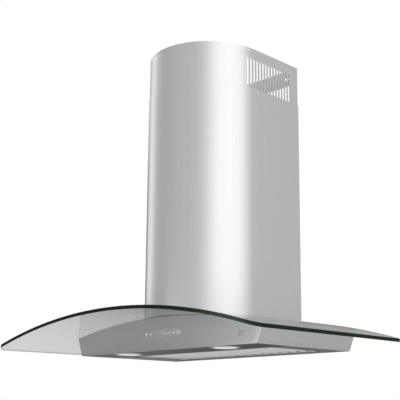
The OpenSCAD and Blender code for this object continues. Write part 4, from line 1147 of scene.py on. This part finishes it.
# %% Control board and lamp driver
y = measure("control_board")[1][1]
legs = [block((x, y, z), (x + 0.5, y + 1.2, z + 1.2), 0.1)
        for x in np.arange(-39.2, -23.0, 1.9) for z in (34.4, 44.4)]
cans = [turned([(r, 0), (r, h - 1.2), (r - 0.5, h - 0.8), (r - 0.5, h - 0.4), (r, h - 0.2),
                (r - 0.4, h + 0.1)], (x, y, STRIP_Z), "y", 40)
        for x, r, h in ((-4.0, 4.0, 9.0), (6.5, 3.2, 7.5))]
walls = [block((x0, y, z0), (x1, y + 8.5, z1), 0.3) for x0, x1, z0, z1 in (
    (44, 62, 35.4, 37), (44, 62, 43, 44.6), (44, 45.6, 35.4, 44.6), (60.4, 62, 35.4, 44.6))]
groups = {
    "board_processor": ("black_plastic", [block((-40, y + 0.6, 35.6), (-22, y + 3.2, 44.4), 0.3)]),
    "board_legs": ("bright_steel", legs),
    "board_relay": ("black_plastic", [block((16, y, 35), (34, y + 11, 45), 0.7)]),
    "board_capacitors": ("galvanised_steel", cans),
    "board_socket": ("white_plastic", walls)}
for name, (slot, shapes) in groups.items():
    piece(name, joined(*shapes), slot=slot)
low, high = measure("lamp_driver")
top = high[2]
ports = [(x, low[1] + 5 + 10 * k) for x in (low[0] + 2, high[0] - 16) for k in range(3)]
blocks = [block((x, y, top - 0.2), (x + 14, y + 9.6, top + 8), 0.6) for x, y in ports]
screws = [(x + 7, y + 4.8, top + 7.9) for x, y in ports]
piece("driver_terminals", joined(*blocks), slot="white_plastic")
piece("driver_terminal_screws", domes(screws, 2.4, 0.9, (0, 0, 1)), slot="bright_steel")
print("board groups:", len(groups), "terminals:", len(ports))

# %% Fins, beads and fasteners
low, high = measure("lamp_housings")
fins = []
for x, y, _ in lamps:
    fin = block((x + 22.6, y - 0.6, low[2] + 9.8), (x + 32, y + 0.6, high[2] - 0.6), 0.25)
    fins.append(repeated(*fin, lambda p, c=np.array([x, y, 0.0]): spun(p, turns[::2], c, 2)))
piece("lamp_fins", joined(*fins), slot="lamp_body")

foot, tall = foot_of("outlet_collar")
bead = [(74.9, -13), (75.8, -12.4), (76.3, -11.5), (76.3, -10.5), (75.8, -9.6), (74.9, -9)]
piece("collar_bead", hoop([(r, tall + z) for r, z in bead], foot, count=128),
      slot=SLOT["outlet_collar"])
flange = [foot + (79.8 * cos(v), 79.8 * sin(v), 0.75) for v in np.radians(np.arange(30, 390, 60))]
low, high = measure("blower_box")
lids = [(s * 116, y, high[2] - 0.05) for s in (-1, 1) for y in (-18, -90, -165)]
piece("box_top_screws", domes(flange + lids, 2.8, 1.3, (0, 0, 1)), slot="bright_steel")
rear = [(s * 118, high[1] - 0.05, z) for s in (-1, 1) for z in (110, 180, 250)]
piece("box_rear_rivets", domes(rear, 2.4, 0.9, (0, 1, 0)), slot="bright_steel")
bell = [(69.8, 60.2), (69.8, 62.2), (70.6, 63.5), (72, 64), (73.4, 63.5), (74.2, 62.2),
        (73.4, 61.8), (72, 62.8), (71, 62.2), (70.6, 60.2)]
piece("inlet_bell", hoop(bell, hub, "x"), slot=SLOT["scroll_half_right"])

KNOCKOUT_Y, KNOCKOUT_Z = -56.0, 346.0
low, high = measure("junction_box")
spots = [((x, low[1], KNOCKOUT_Z), "y", -1) for x in (-58, -2)]
spots += [((x, KNOCKOUT_Y, KNOCKOUT_Z), "x", side) for x, side in ((low[0], -1), (high[0], 1))]
spots += [((x, high[1], KNOCKOUT_Z), "y", 1) for x in (-58, -30, -2)]
lip = [(7.0, -0.1), (7.2, 0.35), (8.0, 0.35), (8.2, -0.1)]
knockouts = [hoop([(r, side * h) for r, h in lip], c, axis, 40) for c, axis, side in spots]
piece("junction_knockouts", joined(*knockouts), slot=SLOT["junction_box"])

low, high = measure("filter_catch")
ridges = [block((x, low[1] + 3, low[2] - 0.35), (x + 0.7, high[1] - 3, low[2] + 0.1), 0.15)
          for x in (242.6, 244.1, 245.6)]
piece("filter_catch_ridges", joined(*ridges), slot=SLOT["filter_catch"], body="catch")
print("fins:", 2 * len(turns[::2]), "screws:", len(flange + lids), "knockouts:", len(spots))
